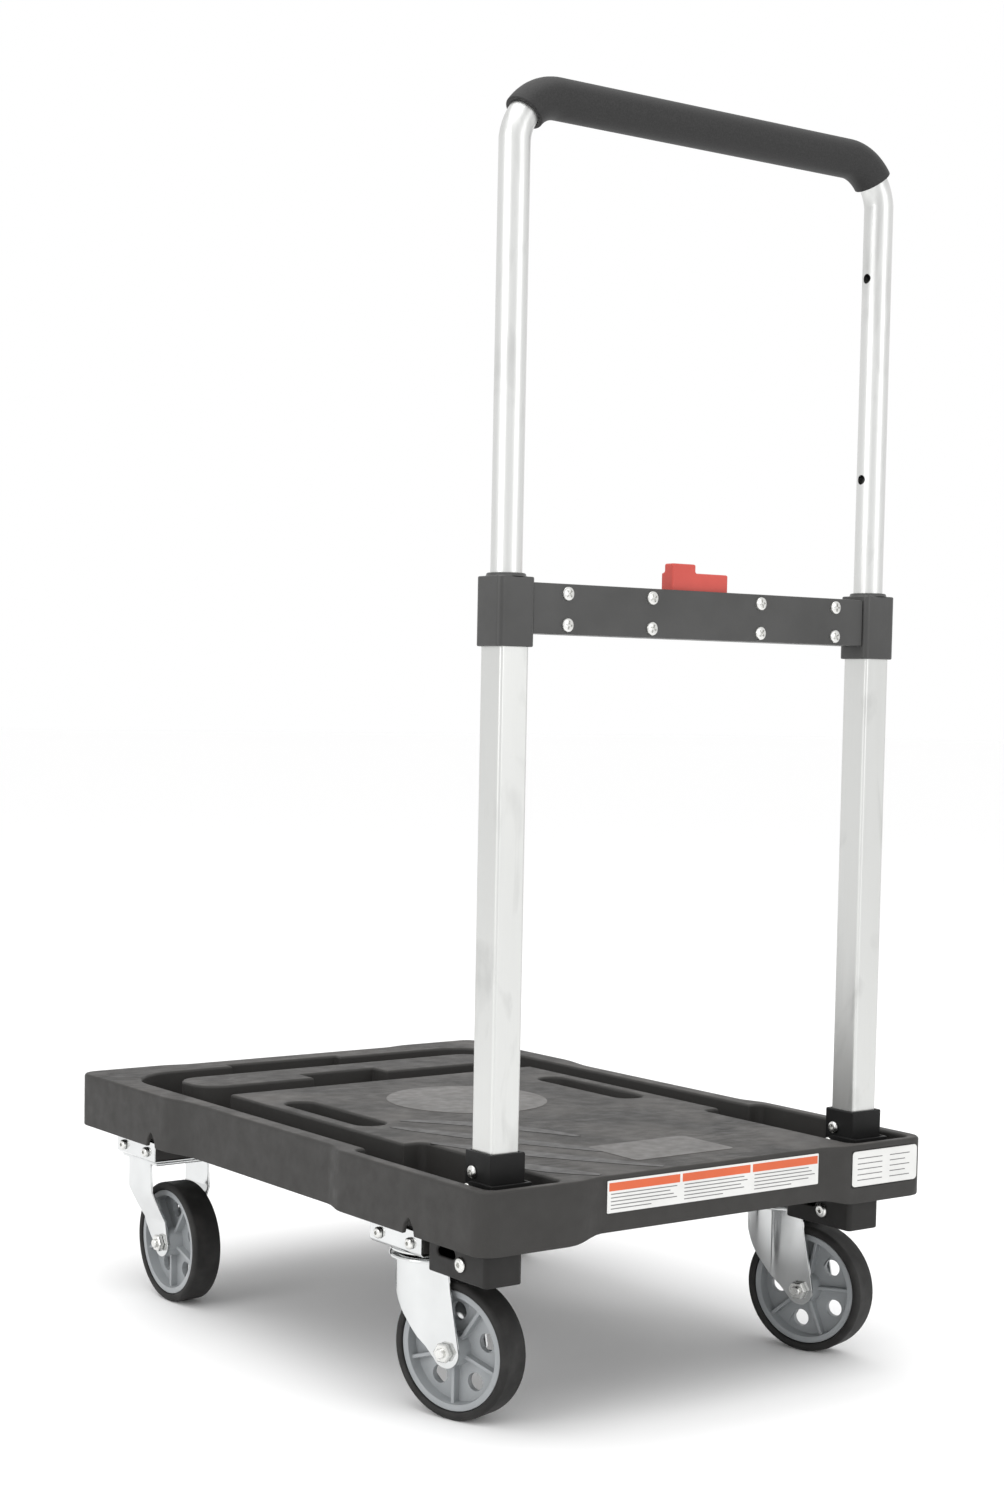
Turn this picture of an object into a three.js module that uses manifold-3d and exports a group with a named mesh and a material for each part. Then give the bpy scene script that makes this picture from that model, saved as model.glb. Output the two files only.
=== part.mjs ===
// Folding platform cart: a moulded deck on two rigid and two swivel casters, with a
// telescoping push handle that folds down into channels in the deck.
// Millimetres, +Z up, +Y towards the far end, the handle stands at the -Y end.
// The origin is on the floor, under the middle of the deck.
import * as THREE from "three";
import { mergeVertices } from "three/addons/utils/BufferGeometryUtils.js";
import Module from "manifold-3d";

// Driving dimensions.
const GAP = 0.3;

const DECK_HALF_WIDTH = 267.5;
const DECK_HALF_LENGTH = 377.5;
const DECK_TOP = 230;
const DECK_BOTTOM = 173;
const DECK_CORNER_RADIUS = 18;
const DECK_WALL = 4.5;
const DECK_SKIN = 4.5;
const CHANNEL_FLOOR = 189;
const SIDE_WALL_SETBACK = 9;
const END_WALL_SETBACK = 6;
const END_WALL_RISE = 6;

const PANEL_HALF_WIDTH = 197.5;
const CHANNEL_OUTER_X = 239.5;
const CHANNEL_START_Y = -300;
const CHANNEL_CORNER = 64;
const CROSS_CHANNEL = [167, 217];
const GRIP_CHANNEL = [285, 331];
const ISLAND_HALF_WIDTH = 201;
const ISLAND_CORNER = 28;
const NOTCH_X = [-62, 34];
const NOTCH_DEPTH = 28;
const FINGER_RECESS_X = [-99, 45];
const FINGER_RECESS_Y = 342;
const POCKET_X = [175, 254];
const POCKET_Y = [-368, -155];
const POCKET_FLOOR = 184;
const SLOT_X = 164;
const SLOT_HALF_WIDTH = 17;
const SLOT_Y = [-62, 96];
const SLOT_RIM = 4;
const SLOT_RIM_DEPTH = 24;
const RIB_BOTTOM = 180;
const RIB_HALF = 2;
const RIB_REACH = [168, 368];
const RIBS_AT_X = [-120, -60, 0, 60, 120];
const RIBS_AT_Y = [-300, -222, -132, -40, 74, 132];
const ARCH_Y = [-266, 211];
const ARCH_HALF_WIDTH = 9.5;
const ARCH_HEIGHT = 16;

const CORNER_LABEL = { x: [168, 255], z: [189.5, 223.5] };
const FRONT_LABEL = { x: [-128, 128], z: [196.5, 225.5] };
const LABEL_THICKNESS = 0.5;
const LABEL_SEAT = 1;

// The two hinge housings are the same moulding, each set towards -X from its post.
const HOUSING = { left: [-257.5, -217.5], right: [173, 213], y: [-369.5, -282], z: [144.5, 179.2] };
const HOUSING_WALL = 3;
const HOUSING_BOLT = { y: -333, z: 159, radius: 4 };
const HOUSING_SLOT = { y: [-324, -297], z: [161, 169] };

const POST_X = 218;
const POST_Y = -326.6;
const POST_SIDE = 30.6;
const POST_WALL = 1.2;
const POST_TOP = 735;
const PIVOT_Y = -325;
const PIVOT_Z = 208.4;
const PIVOT_RADIUS = 5;
const CHEEK = 2.5;
const CHEEK_BACK = -352;
const CHEEK_ROUND = 20.1;
const BRACKET_TOP = 254;
const BRACKET_HALF_X = 19;
const BRACKET_HALF_Y = 18.6;
const BRACKET_SOCKET = 217;
const BRACKET_BOLT = { y: -320, z: 236, radius: 3 };

const COLLAR_BOTTOM = 692;
const COLLAR_TOP = 752;
const COLLAR_HALF_X = 19.5;
const COLLAR_HALF_Y = 18;
const COLLAR_CORNER = 5;
const BAR_BOTTOM = 704;
const BAR_TOP = 747.8;
const BAR_HALF_DEPTH = 13.5;
const BAR_END = POST_X - COLLAR_HALF_X - GAP;
const BAR_SHELL = 2.6;
const BUTTON_X = [-37, 30];
const BUTTON_TRAVEL = 7;
const BUTTON_TOP = 764;
const BUTTON_SKIRT = 5;
const LUG_LENGTH = 28;
const LUG_TOP = 772;
const SPRING_X = -3.5;
const SPRING_RADIUS = 5;
const SPRING_WIRE = 0.7;
const SPRING_TURNS = 4;
const LOCK_PIN_Z = 733;
const PIN_RADIUS = 4;
const PIN_TAIL = 150;

const TUBE_RADIUS = 13.8;
const TUBE_WALL = 1.5;
const TUBE_BEND = 45;
const TUBE_FOOT = 576;
const GRIP_Z = 1162;
const GRIP_RADIUS = 18;
const GRIP_START_ANGLE = 38;
const LOCK_HOLES_Z = [863.3, 1053.6];
const TUBE_SIDES = 16;
const BUSH_HEIGHT = 14;
const BUSH_PLUG = 16;

const WHEEL_RADIUS = 63.5;
const TYRE_WIDTH = 32;
const TYRE_INNER = 55.3;
const CASTER_X = 217;
const SWIVEL_Y = -232;
const RIGID_MOUNT_Y = 262;
const RIGID_AXLE_Y = 238;
const SWIVEL_TRAIL = 34;
const SWIVEL_ANGLE = 17;
const TRAY_HALF = 41;
const TRAY_BASE = 152.5;
const TRAY_TOP = 175;
const TRAY_SHEET = 2.5;
const TRAY_FOLD = 3;
const TRAY_BOLT_Z = 163;
const TRAY_BOLT_RADIUS = 3;
const TRAY_BOLT_SPREAD = 25;
const RACE_RADIUS = 38;
const RACE = [147, TRAY_BASE - GAP];
const FORK_TOP = 146.6;
const FORK_PLATE = 3.6;
const KINGPIN_RADIUS = 6;
const LEG_OUTER = 22.5;
const LEG_THICKNESS = 3;
const LEG_FOOT_RADIUS = 15;
const RIGID_PLATE = [149, TRAY_BASE - GAP];
const RIGID_HALF = 36;
const AXLE_RADIUS = 6;
const HUB_HALF = 18.8;
const RIM_HALF = 14;
const RIM_INNER = 49;
const BOSS_RADIUS = 15;
const WEB_HALF = 3;
const WHEEL_RIBS = 5;
const HOLE_CIRCLE = 34;
const HOLE_RADIUS = 8.2;

const wasm = await Module();
wasm.setup();

// Solids: each geometry becomes a manifold solid, already in its place.
function solidOf(geometry, matrix) {
  const bare = geometry.index ? geometry.toNonIndexed() : geometry.clone();
  bare.deleteAttribute("normal");
  bare.deleteAttribute("uv");
  if (matrix) bare.applyMatrix4(matrix);
  const merged = mergeVertices(bare, 1e-4);
  return new wasm.Manifold(new wasm.Mesh({
    numProp: 3,
    vertProperties: merged.attributes.position.array,
    triVerts: new Uint32Array(merged.index.array),
  }));
}

function box(x0, x1, y0, y1, z0, z1) {
  const centre = [(x0 + x1) / 2, (y0 + y1) / 2, (z0 + z1) / 2];
  const place = new THREE.Matrix4().makeTranslation(...centre);
  return solidOf(new THREE.BoxGeometry(x1 - x0, y1 - y0, z1 - z0), place);
}

// A cylinder between two points; radius2 tapers it towards the second point.
function rod(from, to, radius, sides = 20, radius2 = radius) {
  const a = new THREE.Vector3(...from);
  const b = new THREE.Vector3(...to);
  const along = b.clone().sub(a);
  const geometry = new THREE.CylinderGeometry(radius2, radius, along.length(), sides);
  const turn = new THREE.Quaternion().setFromUnitVectors(
    new THREE.Vector3(0, 1, 0), along.clone().normalize());
  const middle = a.clone().add(b).multiplyScalar(0.5);
  const place = new THREE.Matrix4().compose(middle, turn, new THREE.Vector3(1, 1, 1));
  return solidOf(geometry, place);
}

function rodX(x0, x1, y, z, radius, sides = 20) {
  return rod([x0, y, z], [x1, y, z], radius, sides);
}

function rodZ(x, y, z0, z1, radius, sides = 20) {
  return rod([x, y, z0], [x, y, z1], radius, sides);
}

function outline(points) {
  return new THREE.Shape(points.map(([a, b]) => new THREE.Vector2(a, b)));
}

// Extrusions of a flat shape along each axis, between two stations.
function alongZ(shape, z0, z1, curveSegments = 2) {
  const geometry = new THREE.ExtrudeGeometry(shape, {
    depth: z1 - z0, bevelEnabled: false, curveSegments });
  return solidOf(geometry, new THREE.Matrix4().makeTranslation(0, 0, z0));
}

function alongX(shapeYZ, x0, x1, curveSegments = 2) {
  const geometry = new THREE.ExtrudeGeometry(shapeYZ, {
    depth: x1 - x0, bevelEnabled: false, curveSegments });
  const axes = new THREE.Matrix4().makeBasis(
    new THREE.Vector3(0, 1, 0), new THREE.Vector3(0, 0, 1), new THREE.Vector3(1, 0, 0));
  return solidOf(geometry, axes.setPosition(x0, 0, 0));
}

function alongY(shapeXZ, y0, y1, curveSegments = 2) {
  const geometry = new THREE.ExtrudeGeometry(shapeXZ, {
    depth: y1 - y0, bevelEnabled: false, curveSegments });
  const axes = new THREE.Matrix4().makeBasis(
    new THREE.Vector3(1, 0, 0), new THREE.Vector3(0, 0, 1), new THREE.Vector3(0, -1, 0));
  return solidOf(geometry, axes.setPosition(0, y1, 0));
}

function roundedRect(x0, x1, y0, y1, radius) {
  const shape = new THREE.Shape();
  shape.moveTo(x0 + radius, y0);
  shape.lineTo(x1 - radius, y0);
  shape.absarc(x1 - radius, y0 + radius, radius, -Math.PI / 2, 0);
  shape.lineTo(x1, y1 - radius);
  shape.absarc(x1 - radius, y1 - radius, radius, 0, Math.PI / 2);
  shape.lineTo(x0 + radius, y1);
  shape.absarc(x0 + radius, y1 - radius, radius, Math.PI / 2, Math.PI);
  shape.lineTo(x0, y0 + radius);
  shape.absarc(x0 + radius, y0 + radius, radius, Math.PI, 1.5 * Math.PI);
  return shape;
}

function joined(solids) {
  return solids.reduce((sum, next) => sum.add(next));
}

function cutBy(solid, cutters) {
  return cutters.reduce((left, cutter) => left.subtract(cutter), solid);
}

const cart = new THREE.Group();

function addPart(name, solid, material, parent = cart) {
  const raw = solid.getMesh();
  const positions = new Float32Array(raw.numVert * 3);
  for (let i = 0; i < raw.numVert; i += 1) {
    const at = i * raw.numProp;
    positions.set(raw.vertProperties.subarray(at, at + 3), i * 3);
  }
  const geometry = new THREE.BufferGeometry();
  geometry.setAttribute("position", new THREE.BufferAttribute(positions, 3));
  geometry.setIndex(new THREE.BufferAttribute(new Uint32Array(raw.triVerts), 1));
  geometry.computeVertexNormals();
  const mesh = new THREE.Mesh(geometry, material);
  mesh.name = name;
  parent.add(mesh);
  return mesh;
}

function finish(color, roughness, metalness) {
  return new THREE.MeshStandardMaterial({ color, roughness, metalness });
}

const materials = {
  deck: finish(0x3e3d3b, 0.65, 0),
  housing: finish(0x333230, 0.6, 0),
  bracket: finish(0x262626, 0.55, 0),
  collar: finish(0x3a3a3a, 0.5, 0),
  foam: finish(0x2f2f2f, 0.9, 0),
  aluminium: finish(0xd8dad6, 0.35, 0.9),
  zinc: finish(0xcfd0cc, 0.3, 0.9),
  steel: finish(0xb8b8b6, 0.3, 0.9),
  button: finish(0xc83a30, 0.45, 0),
  label: finish(0xf4f3ef, 0.5, 0),
  hub: finish(0x8c9196, 0.5, 0),
  tyre: finish(0x2c2b2a, 0.85, 0),
};

const SIDES = [["left", -1], ["right", 1]];

// The two stations on one side of the cart, the smaller first.
function acrossSide(sign, inner, outer) {
  return [sign * inner, sign * outer].sort((a, b) => a - b);
}

// Deck.

// Half-width of the side wall at a station y, or half-length of the end wall at x:
// full at the corner lobes, set back between them, with a smooth step.
function lobed(full, setback, distance, stepStart, stepEnd) {
  const t = THREE.MathUtils.clamp((stepEnd - distance) / (stepEnd - stepStart), 0, 1);
  return full - setback * t * t * (3 - 2 * t);
}

const SIDE_STEPS = { near: [-155, -119], far: [133, 190] };
const END_STEP = [132, 166];
const END_RISE_STEP = [132, 172];
const STEP_POINTS = 5;

// Deck outline, offset inwards by inset.
function deckOutline(inset) {
  const radius = DECK_CORNER_RADIUS - inset;
  const w = DECK_HALF_WIDTH - inset;
  const l = DECK_HALF_LENGTH - inset;
  const half = [];
  for (let i = 0; i <= STEP_POINTS; i += 1) {
    const x = THREE.MathUtils.lerp(END_STEP[0], END_STEP[1], i / STEP_POINTS);
    half.push([x, -lobed(l, END_WALL_SETBACK, x, ...END_STEP)]);
  }
  for (let i = 0; i <= 4; i += 1) {
    const a = -Math.PI / 2 + (Math.PI / 2) * (i / 4);
    half.push([w - radius + radius * Math.cos(a), -l + radius + radius * Math.sin(a)]);
  }
  for (const [start, end, flip] of [[...SIDE_STEPS.near, 1], [...SIDE_STEPS.far, -1]]) {
    for (let i = 0; i <= STEP_POINTS; i += 1) {
      const y = THREE.MathUtils.lerp(start, end, i / STEP_POINTS);
      const into = flip > 0 ? [-y, -end, -start] : [y, start, end];
      half.push([lobed(w, SIDE_WALL_SETBACK, ...into), y]);
    }
  }
  for (let i = 0; i <= 4; i += 1) {
    const a = (Math.PI / 2) * (i / 4);
    half.push([w - radius + radius * Math.cos(a), l - radius + radius * Math.sin(a)]);
  }
  for (let i = STEP_POINTS; i >= 0; i -= 1) {
    const x = THREE.MathUtils.lerp(END_STEP[0], END_STEP[1], i / STEP_POINTS);
    half.push([x, lobed(l, END_WALL_SETBACK, x, ...END_STEP)]);
  }
  const mirrored = half.map(([x, y]) => [-x, y]).reverse();
  return outline([...half, ...mirrored]);
}

// Cutters from above start a little over the deck.
const TOP_CUT = DECK_TOP + 5;

function handSlot(sign, extra) {
  const x = sign * SLOT_X;
  const half = SLOT_HALF_WIDTH + extra;
  return roundedRect(x - half, x + half, SLOT_Y[0] - extra, SLOT_Y[1] + extra, half - 1);
}

// Clearance bores for the two cross bolts of the caster tray centred at x, y.
function trayBores(x, y) {
  return [-TRAY_BOLT_SPREAD, TRAY_BOLT_SPREAD].map((dy) => rodX(x - 50, x + 50, y + dy,
    TRAY_BOLT_Z, TRAY_BOLT_RADIUS + GAP, 12));
}

// Everything cut from above for the folded handle: one wide outline with the panel and
// the island left standing in it, a pocket round each hinge, the notch and the recess.
function makeChannels() {
  const reach = alongZ(roundedRect(-CHANNEL_OUTER_X, CHANNEL_OUTER_X, CHANNEL_START_Y,
    GRIP_CHANNEL[1], CHANNEL_CORNER), CHANNEL_FLOOR, TOP_CUT, 6);
  const legs = SIDES.map(([, sign]) => box(...acrossSide(sign, PANEL_HALF_WIDTH, CHANNEL_OUTER_X),
    CHANNEL_START_Y, CROSS_CHANNEL[0], CHANNEL_FLOOR, TOP_CUT));
  const panel = box(-PANEL_HALF_WIDTH, PANEL_HALF_WIDTH, -DECK_HALF_LENGTH, CROSS_CHANNEL[0],
    CHANNEL_FLOOR - 1, TOP_CUT + 1);
  const island = alongZ(roundedRect(-ISLAND_HALF_WIDTH, ISLAND_HALF_WIDTH, CROSS_CHANNEL[1],
    GRIP_CHANNEL[0], ISLAND_CORNER), CHANNEL_FLOOR - 1, TOP_CUT + 1, 4);
  const pockets = SIDES.map(([, sign]) => alongZ(roundedRect(...acrossSide(sign, ...POCKET_X),
    ...POCKET_Y, 8), POCKET_FLOOR, TOP_CUT));
  const notch = box(...NOTCH_X, CROSS_CHANNEL[1] - 5, CROSS_CHANNEL[1] + NOTCH_DEPTH,
    CHANNEL_FLOOR, TOP_CUT);
  const recess = box(...FINGER_RECESS_X, GRIP_CHANNEL[1] - 5, FINGER_RECESS_Y,
    CHANNEL_FLOOR, TOP_CUT);
  return joined([cutBy(joined([reach, ...legs]), [panel, island]), ...pockets, notch, recess]);
}

function makeDeck() {
  const inside = deckOutline(DECK_WALL);
  const floorUnder = CHANNEL_FLOOR - DECK_SKIN;
  const roofUnder = DECK_TOP - DECK_SKIN;
  const channels = makeChannels();
  let deck = alongZ(deckOutline(0), DECK_BOTTOM, DECK_TOP);
  deck = deck.subtract(alongZ(inside, DECK_BOTTOM - 1, floorUnder - DECK_WALL));
  deck = deck.subtract(channels);

  // Hollows under the raised areas, with ribs left standing in them.
  const low = floorUnder - 6;
  const panelX = PANEL_HALF_WIDTH - DECK_WALL;
  const nearX = POCKET_X[0] - DECK_WALL;
  const islandX = ISLAND_HALF_WIDTH - ISLAND_CORNER - DECK_WALL;
  const islandY = [CROSS_CHANNEL[1] + DECK_WALL, GRIP_CHANNEL[0] - DECK_WALL];
  const farX = CHANNEL_OUTER_X - CHANNEL_CORNER;
  const endFace = DECK_HALF_LENGTH - END_WALL_SETBACK - DECK_WALL;
  const hollows = [
    [-panelX, panelX, POCKET_Y[1] + DECK_WALL, CROSS_CHANNEL[0] - DECK_WALL],
    [-nearX, nearX, -endFace, POCKET_Y[1] + DECK_WALL + 1.5],
    [-islandX, NOTCH_X[0] - DECK_WALL, ...islandY],
    [NOTCH_X[1] + DECK_WALL, islandX, ...islandY],
    [-farX, farX, FINGER_RECESS_Y + DECK_WALL, endFace],
  ];
  deck = cutBy(deck, hollows.map((plan) => box(...plan, low, roofUnder)));
  const [ribX, ribY] = RIB_REACH;
  const ribs = [
    ...RIBS_AT_X.map((x) => box(x - RIB_HALF, x + RIB_HALF, -ribY, ribY, RIB_BOTTOM, roofUnder + 1)),
    ...RIBS_AT_Y.map((y) => box(-ribX, ribX, y - RIB_HALF, y + RIB_HALF, RIB_BOTTOM, roofUnder + 1)),
  ];
  deck = deck.add(joined(ribs).subtract(channels));

  // Caster blocks: each fills a mounting tray and is drilled for its two bolts.
  for (const [, sign] of SIDES) {
    for (const y of [SWIVEL_Y, RIGID_MOUNT_Y]) {
      const x = sign * CASTER_X;
      const half = TRAY_HALF - TRAY_SHEET - GAP;
      const block = box(x - half, x + half, y - TRAY_HALF, y + TRAY_HALF,
        TRAY_BASE + TRAY_SHEET + GAP, POCKET_FLOOR - 3);
      const lightening = box(x - half + 6, x + half - 6, y - TRAY_HALF + 18, y + TRAY_HALF - 18,
        TRAY_BASE, POCKET_FLOOR - 6);
      deck = cutBy(deck.add(block), [lightening, ...trayBores(x, y)]);
    }
  }

  // Carrying slots with a rim that hangs below the panel.
  for (const [, sign] of SIDES) {
    deck = deck.add(alongZ(handSlot(sign, SLOT_RIM), DECK_TOP - SLOT_RIM_DEPTH, DECK_TOP));
    deck = deck.subtract(alongZ(handSlot(sign, 0), DECK_BOTTOM - 5, TOP_CUT));
  }

  // The end walls end higher between the corner lobes, with a smooth step.
  const rising = [];
  for (let i = 0; i <= STEP_POINTS; i += 1) {
    const x = THREE.MathUtils.lerp(...END_RISE_STEP, i / STEP_POINTS);
    rising.push([x, DECK_BOTTOM + lobed(0, -END_WALL_RISE, x, ...END_RISE_STEP)]);
  }
  const below = [END_RISE_STEP[1], DECK_BOTTOM - 2];
  const halfRise = [...rising, below];
  const riseShape = outline([...halfRise, ...halfRise.map(([x, z]) => [-x, z]).reverse()]);
  for (const [, sign] of SIDES) {
    const ys = acrossSide(sign, DECK_HALF_LENGTH - 12, DECK_HALF_LENGTH + 8);
    deck = deck.subtract(alongY(riseShape, ...ys));
  }
  // Pointed arches in the lower edge of the side walls.
  for (const y of ARCH_Y) {
    const w = ARCH_HALF_WIDTH;
    const arch = new THREE.Shape();
    arch.moveTo(y - w, DECK_BOTTOM - 3);
    arch.lineTo(y + w, DECK_BOTTOM - 3);
    arch.quadraticCurveTo(y + w - 1, DECK_BOTTOM + 11, y, DECK_BOTTOM + ARCH_HEIGHT);
    arch.quadraticCurveTo(y - w + 1, DECK_BOTTOM + 11, y - w, DECK_BOTTOM - 3);
    for (const [, sign] of SIDES) {
      const xs = acrossSide(sign, DECK_HALF_WIDTH - 5.5, DECK_HALF_WIDTH + 7.5);
      deck = deck.subtract(alongX(arch, ...xs));
    }
  }
  // Shallow seat for the corner label, so that it lies flush with the lobe.
  const { x, z } = CORNER_LABEL;
  const seatDepth = [-DECK_HALF_LENGTH - LABEL_SEAT, -DECK_HALF_LENGTH + LABEL_SEAT];
  return deck.subtract(box(x[0] - GAP, x[1] + GAP, ...seatDepth, z[0] - GAP, z[1] + GAP));
}

addPart("deck", makeDeck(), materials.deck);

const endWallFace = -DECK_HALF_LENGTH + END_WALL_SETBACK;
addPart("front_label", box(...FRONT_LABEL.x, endWallFace - GAP - LABEL_THICKNESS, endWallFace - GAP,
  ...FRONT_LABEL.z), materials.label);
const cornerLabel = alongY(roundedRect(...CORNER_LABEL.x, ...CORNER_LABEL.z, 4),
  -DECK_HALF_LENGTH + 0.2, -DECK_HALF_LENGTH + 0.2 + LABEL_THICKNESS);
addPart("corner_label", cornerLabel, materials.label);

// Hinge housings and bases, one under and in each pocket.
function makeHousing(xs) {
  const shell = alongZ(roundedRect(...xs, ...HOUSING.y, 5), ...HOUSING.z, 2);
  const w = HOUSING_WALL;
  const hollow = box(xs[0] + w, xs[1] - w, HOUSING.y[0] + w, HOUSING.y[1] - w,
    HOUSING.z[0] + w, HOUSING.z[1] + 1);
  const slot = alongX(roundedRect(...HOUSING_SLOT.y, ...HOUSING_SLOT.z, 3.5),
    xs[0] - 1, xs[0] + w + 1, 1);
  const bolt = rodX(xs[0] - 1, xs[1] + 1, HOUSING_BOLT.y, HOUSING_BOLT.z,
    HOUSING_BOLT.radius + GAP, 12);
  return cutBy(shell, [hollow, slot, bolt]);
}

// A bolt along X with a domed head on the -X side and a nut on the other.
function boltX(x0, x1, y, z, radius, headRadius, headHeight) {
  const shank = rodX(x0, x1, y, z, radius, 12);
  const head = rod([x0, y, z], [x0 - headHeight, y, z], headRadius, 14, headRadius * 0.6);
  const nut = rodX(x1, x1 + headHeight, y, z, headRadius, 6);
  return joined([shank, head, nut]);
}

function makeHingeBase(sign) {
  const x = sign * POST_X;
  const inner = BRACKET_HALF_X + GAP;
  const outer = inner + CHEEK;
  const back = CHEEK_BACK;
  const bottom = POCKET_FLOOR + GAP;
  const profile = new THREE.Shape();
  profile.moveTo(back, bottom);
  profile.lineTo(PIVOT_Y + CHEEK_ROUND, bottom);
  profile.absarc(PIVOT_Y, PIVOT_Z, CHEEK_ROUND, 0, Math.PI / 2);
  profile.lineTo(back, PIVOT_Z + CHEEK_ROUND);
  const body = alongX(profile, x - outer, x + outer, 4);
  const opening = box(x - inner, x + inner, back + CHEEK, PIVOT_Y + 30, bottom + 2.5, PIVOT_Z + 30);
  const bore = rodX(x - 40, x + 40, PIVOT_Y, PIVOT_Z, PIVOT_RADIUS + GAP, 16);
  return cutBy(body, [opening, bore]);
}

for (const [side, sign] of SIDES) {
  const xs = HOUSING[side];
  addPart(`hinge_housing_${side}`, makeHousing(xs), materials.housing);
  addPart(`housing_bolt_${side}`, boltX(xs[0] - GAP, xs[1] + GAP, HOUSING_BOLT.y, HOUSING_BOLT.z,
    HOUSING_BOLT.radius, 6.5, 3), materials.steel);
  addPart(`hinge_base_${side}`, makeHingeBase(sign), materials.bracket);
  const reach = BRACKET_HALF_X + CHEEK + 2 * GAP;
  addPart(`pivot_bolt_${side}`, boltX(sign * POST_X - reach, sign * POST_X + reach, PIVOT_Y, PIVOT_Z,
    PIVOT_RADIUS, 9, 4), materials.steel);
}

// Caster trays and their cross bolts.
function makeTray(x, y) {
  const out = TRAY_HALF;
  const inner = out - TRAY_SHEET;
  const floor = TRAY_BASE + TRAY_SHEET;
  const fold = TRAY_BASE + TRAY_FOLD;
  const profile = outline([
    [x - out, fold], [x - out + TRAY_FOLD, TRAY_BASE], [x + out - TRAY_FOLD, TRAY_BASE], [x + out, fold],
    [x + out, TRAY_TOP], [x + inner, TRAY_TOP], [x + inner, floor],
    [x - inner, floor], [x - inner, TRAY_TOP], [x - out, TRAY_TOP]]);
  return cutBy(alongY(profile, y - out, y + out), trayBores(x, y));
}

const CASTERS = [
  { name: "swivel_left", x: -CASTER_X, y: SWIVEL_Y, swivels: true, ribTurn: -90 },
  { name: "swivel_right", x: CASTER_X, y: SWIVEL_Y, swivels: true, ribTurn: 31 },
  { name: "rigid_left", x: -CASTER_X, y: RIGID_MOUNT_Y, swivels: false, ribTurn: -90 },
  { name: "rigid_right", x: CASTER_X, y: RIGID_MOUNT_Y, swivels: false, ribTurn: 5 },
];

for (const { name, x, y } of CASTERS) {
  addPart(`${name}_tray`, makeTray(x, y), materials.zinc);
  const reach = TRAY_HALF + GAP;
  for (const [end, dy] of [["near", -TRAY_BOLT_SPREAD], ["far", TRAY_BOLT_SPREAD]]) {
    addPart(`${name}_tray_bolt_${end}`, boltX(x - reach, x + reach, y + dy, TRAY_BOLT_Z,
      TRAY_BOLT_RADIUS, 5.5, 4), materials.steel);
  }
}

// Casters. Each fork and wheel is made about the caster's own origin on the floor:
// local x is the axle, local -y is the way the wheel trails.
function makeSwivelRace() {
  const plate = rodZ(0, 0, RACE[0] + 2.2, RACE[1], RACE_RADIUS, 24);
  const seat = rodZ(0, 0, RACE[0], RACE[0] + 2.4, RACE_RADIUS - 7, 24);
  const shank = rodZ(0, 0, FORK_TOP - FORK_PLATE - 1, RACE[0] + 3, KINGPIN_RADIUS, 16);
  const foot = rodZ(0, 0, FORK_TOP - FORK_PLATE - 5, FORK_TOP - FORK_PLATE - GAP, 11, 16);
  return joined([plate, seat, shank, foot]);
}

// Plan outline of the fork: a U open towards the trailing side with a rounded nose.
function forkPlan(inset) {
  const half = LEG_OUTER + 2.5 - inset;
  const nose = 42 - inset;
  const points = [];
  for (let i = 0; i <= 10; i += 1) {
    const a = Math.PI * (i / 10);
    points.push([half * Math.cos(a), -4 + nose * Math.sin(a)]);
  }
  const leg = LEG_OUTER - inset;
  points.push([-leg, -12], [-leg, -60], [leg, -60], [leg, -12]);
  return outline(points);
}

function makeSwivelFork() {
  const axleY = -SWIVEL_TRAIL;
  const z = WHEEL_RADIUS;
  const side = new THREE.Shape();
  side.moveTo(axleY - LEG_FOOT_RADIUS, z);
  side.absarc(axleY, z, LEG_FOOT_RADIUS, Math.PI, 1.8 * Math.PI);
  side.lineTo(16, 92);
  side.quadraticCurveTo(34, 112, 38, 134);
  side.lineTo(38, FORK_TOP - 2);
  side.lineTo(-33, FORK_TOP - 2);
  side.lineTo(-36, 132);
  const shell = alongZ(forkPlan(0), 40, FORK_TOP - 2)
    .subtract(alongZ(forkPlan(LEG_THICKNESS), 30, FORK_TOP - FORK_PLATE));
  const legs = shell.intersect(alongX(side, -50, 50, 4));
  const dome = rodZ(0, 0, FORK_TOP - FORK_PLATE, FORK_TOP, RACE_RADIUS + 1, 24);
  const pinHole = rodZ(0, 0, 130, 160, KINGPIN_RADIUS + GAP, 16);
  const axleHole = rodX(-40, 40, axleY, z, AXLE_RADIUS + GAP, 16);
  return cutBy(joined([legs, dome]), [pinHole, axleHole]);
}

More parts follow.
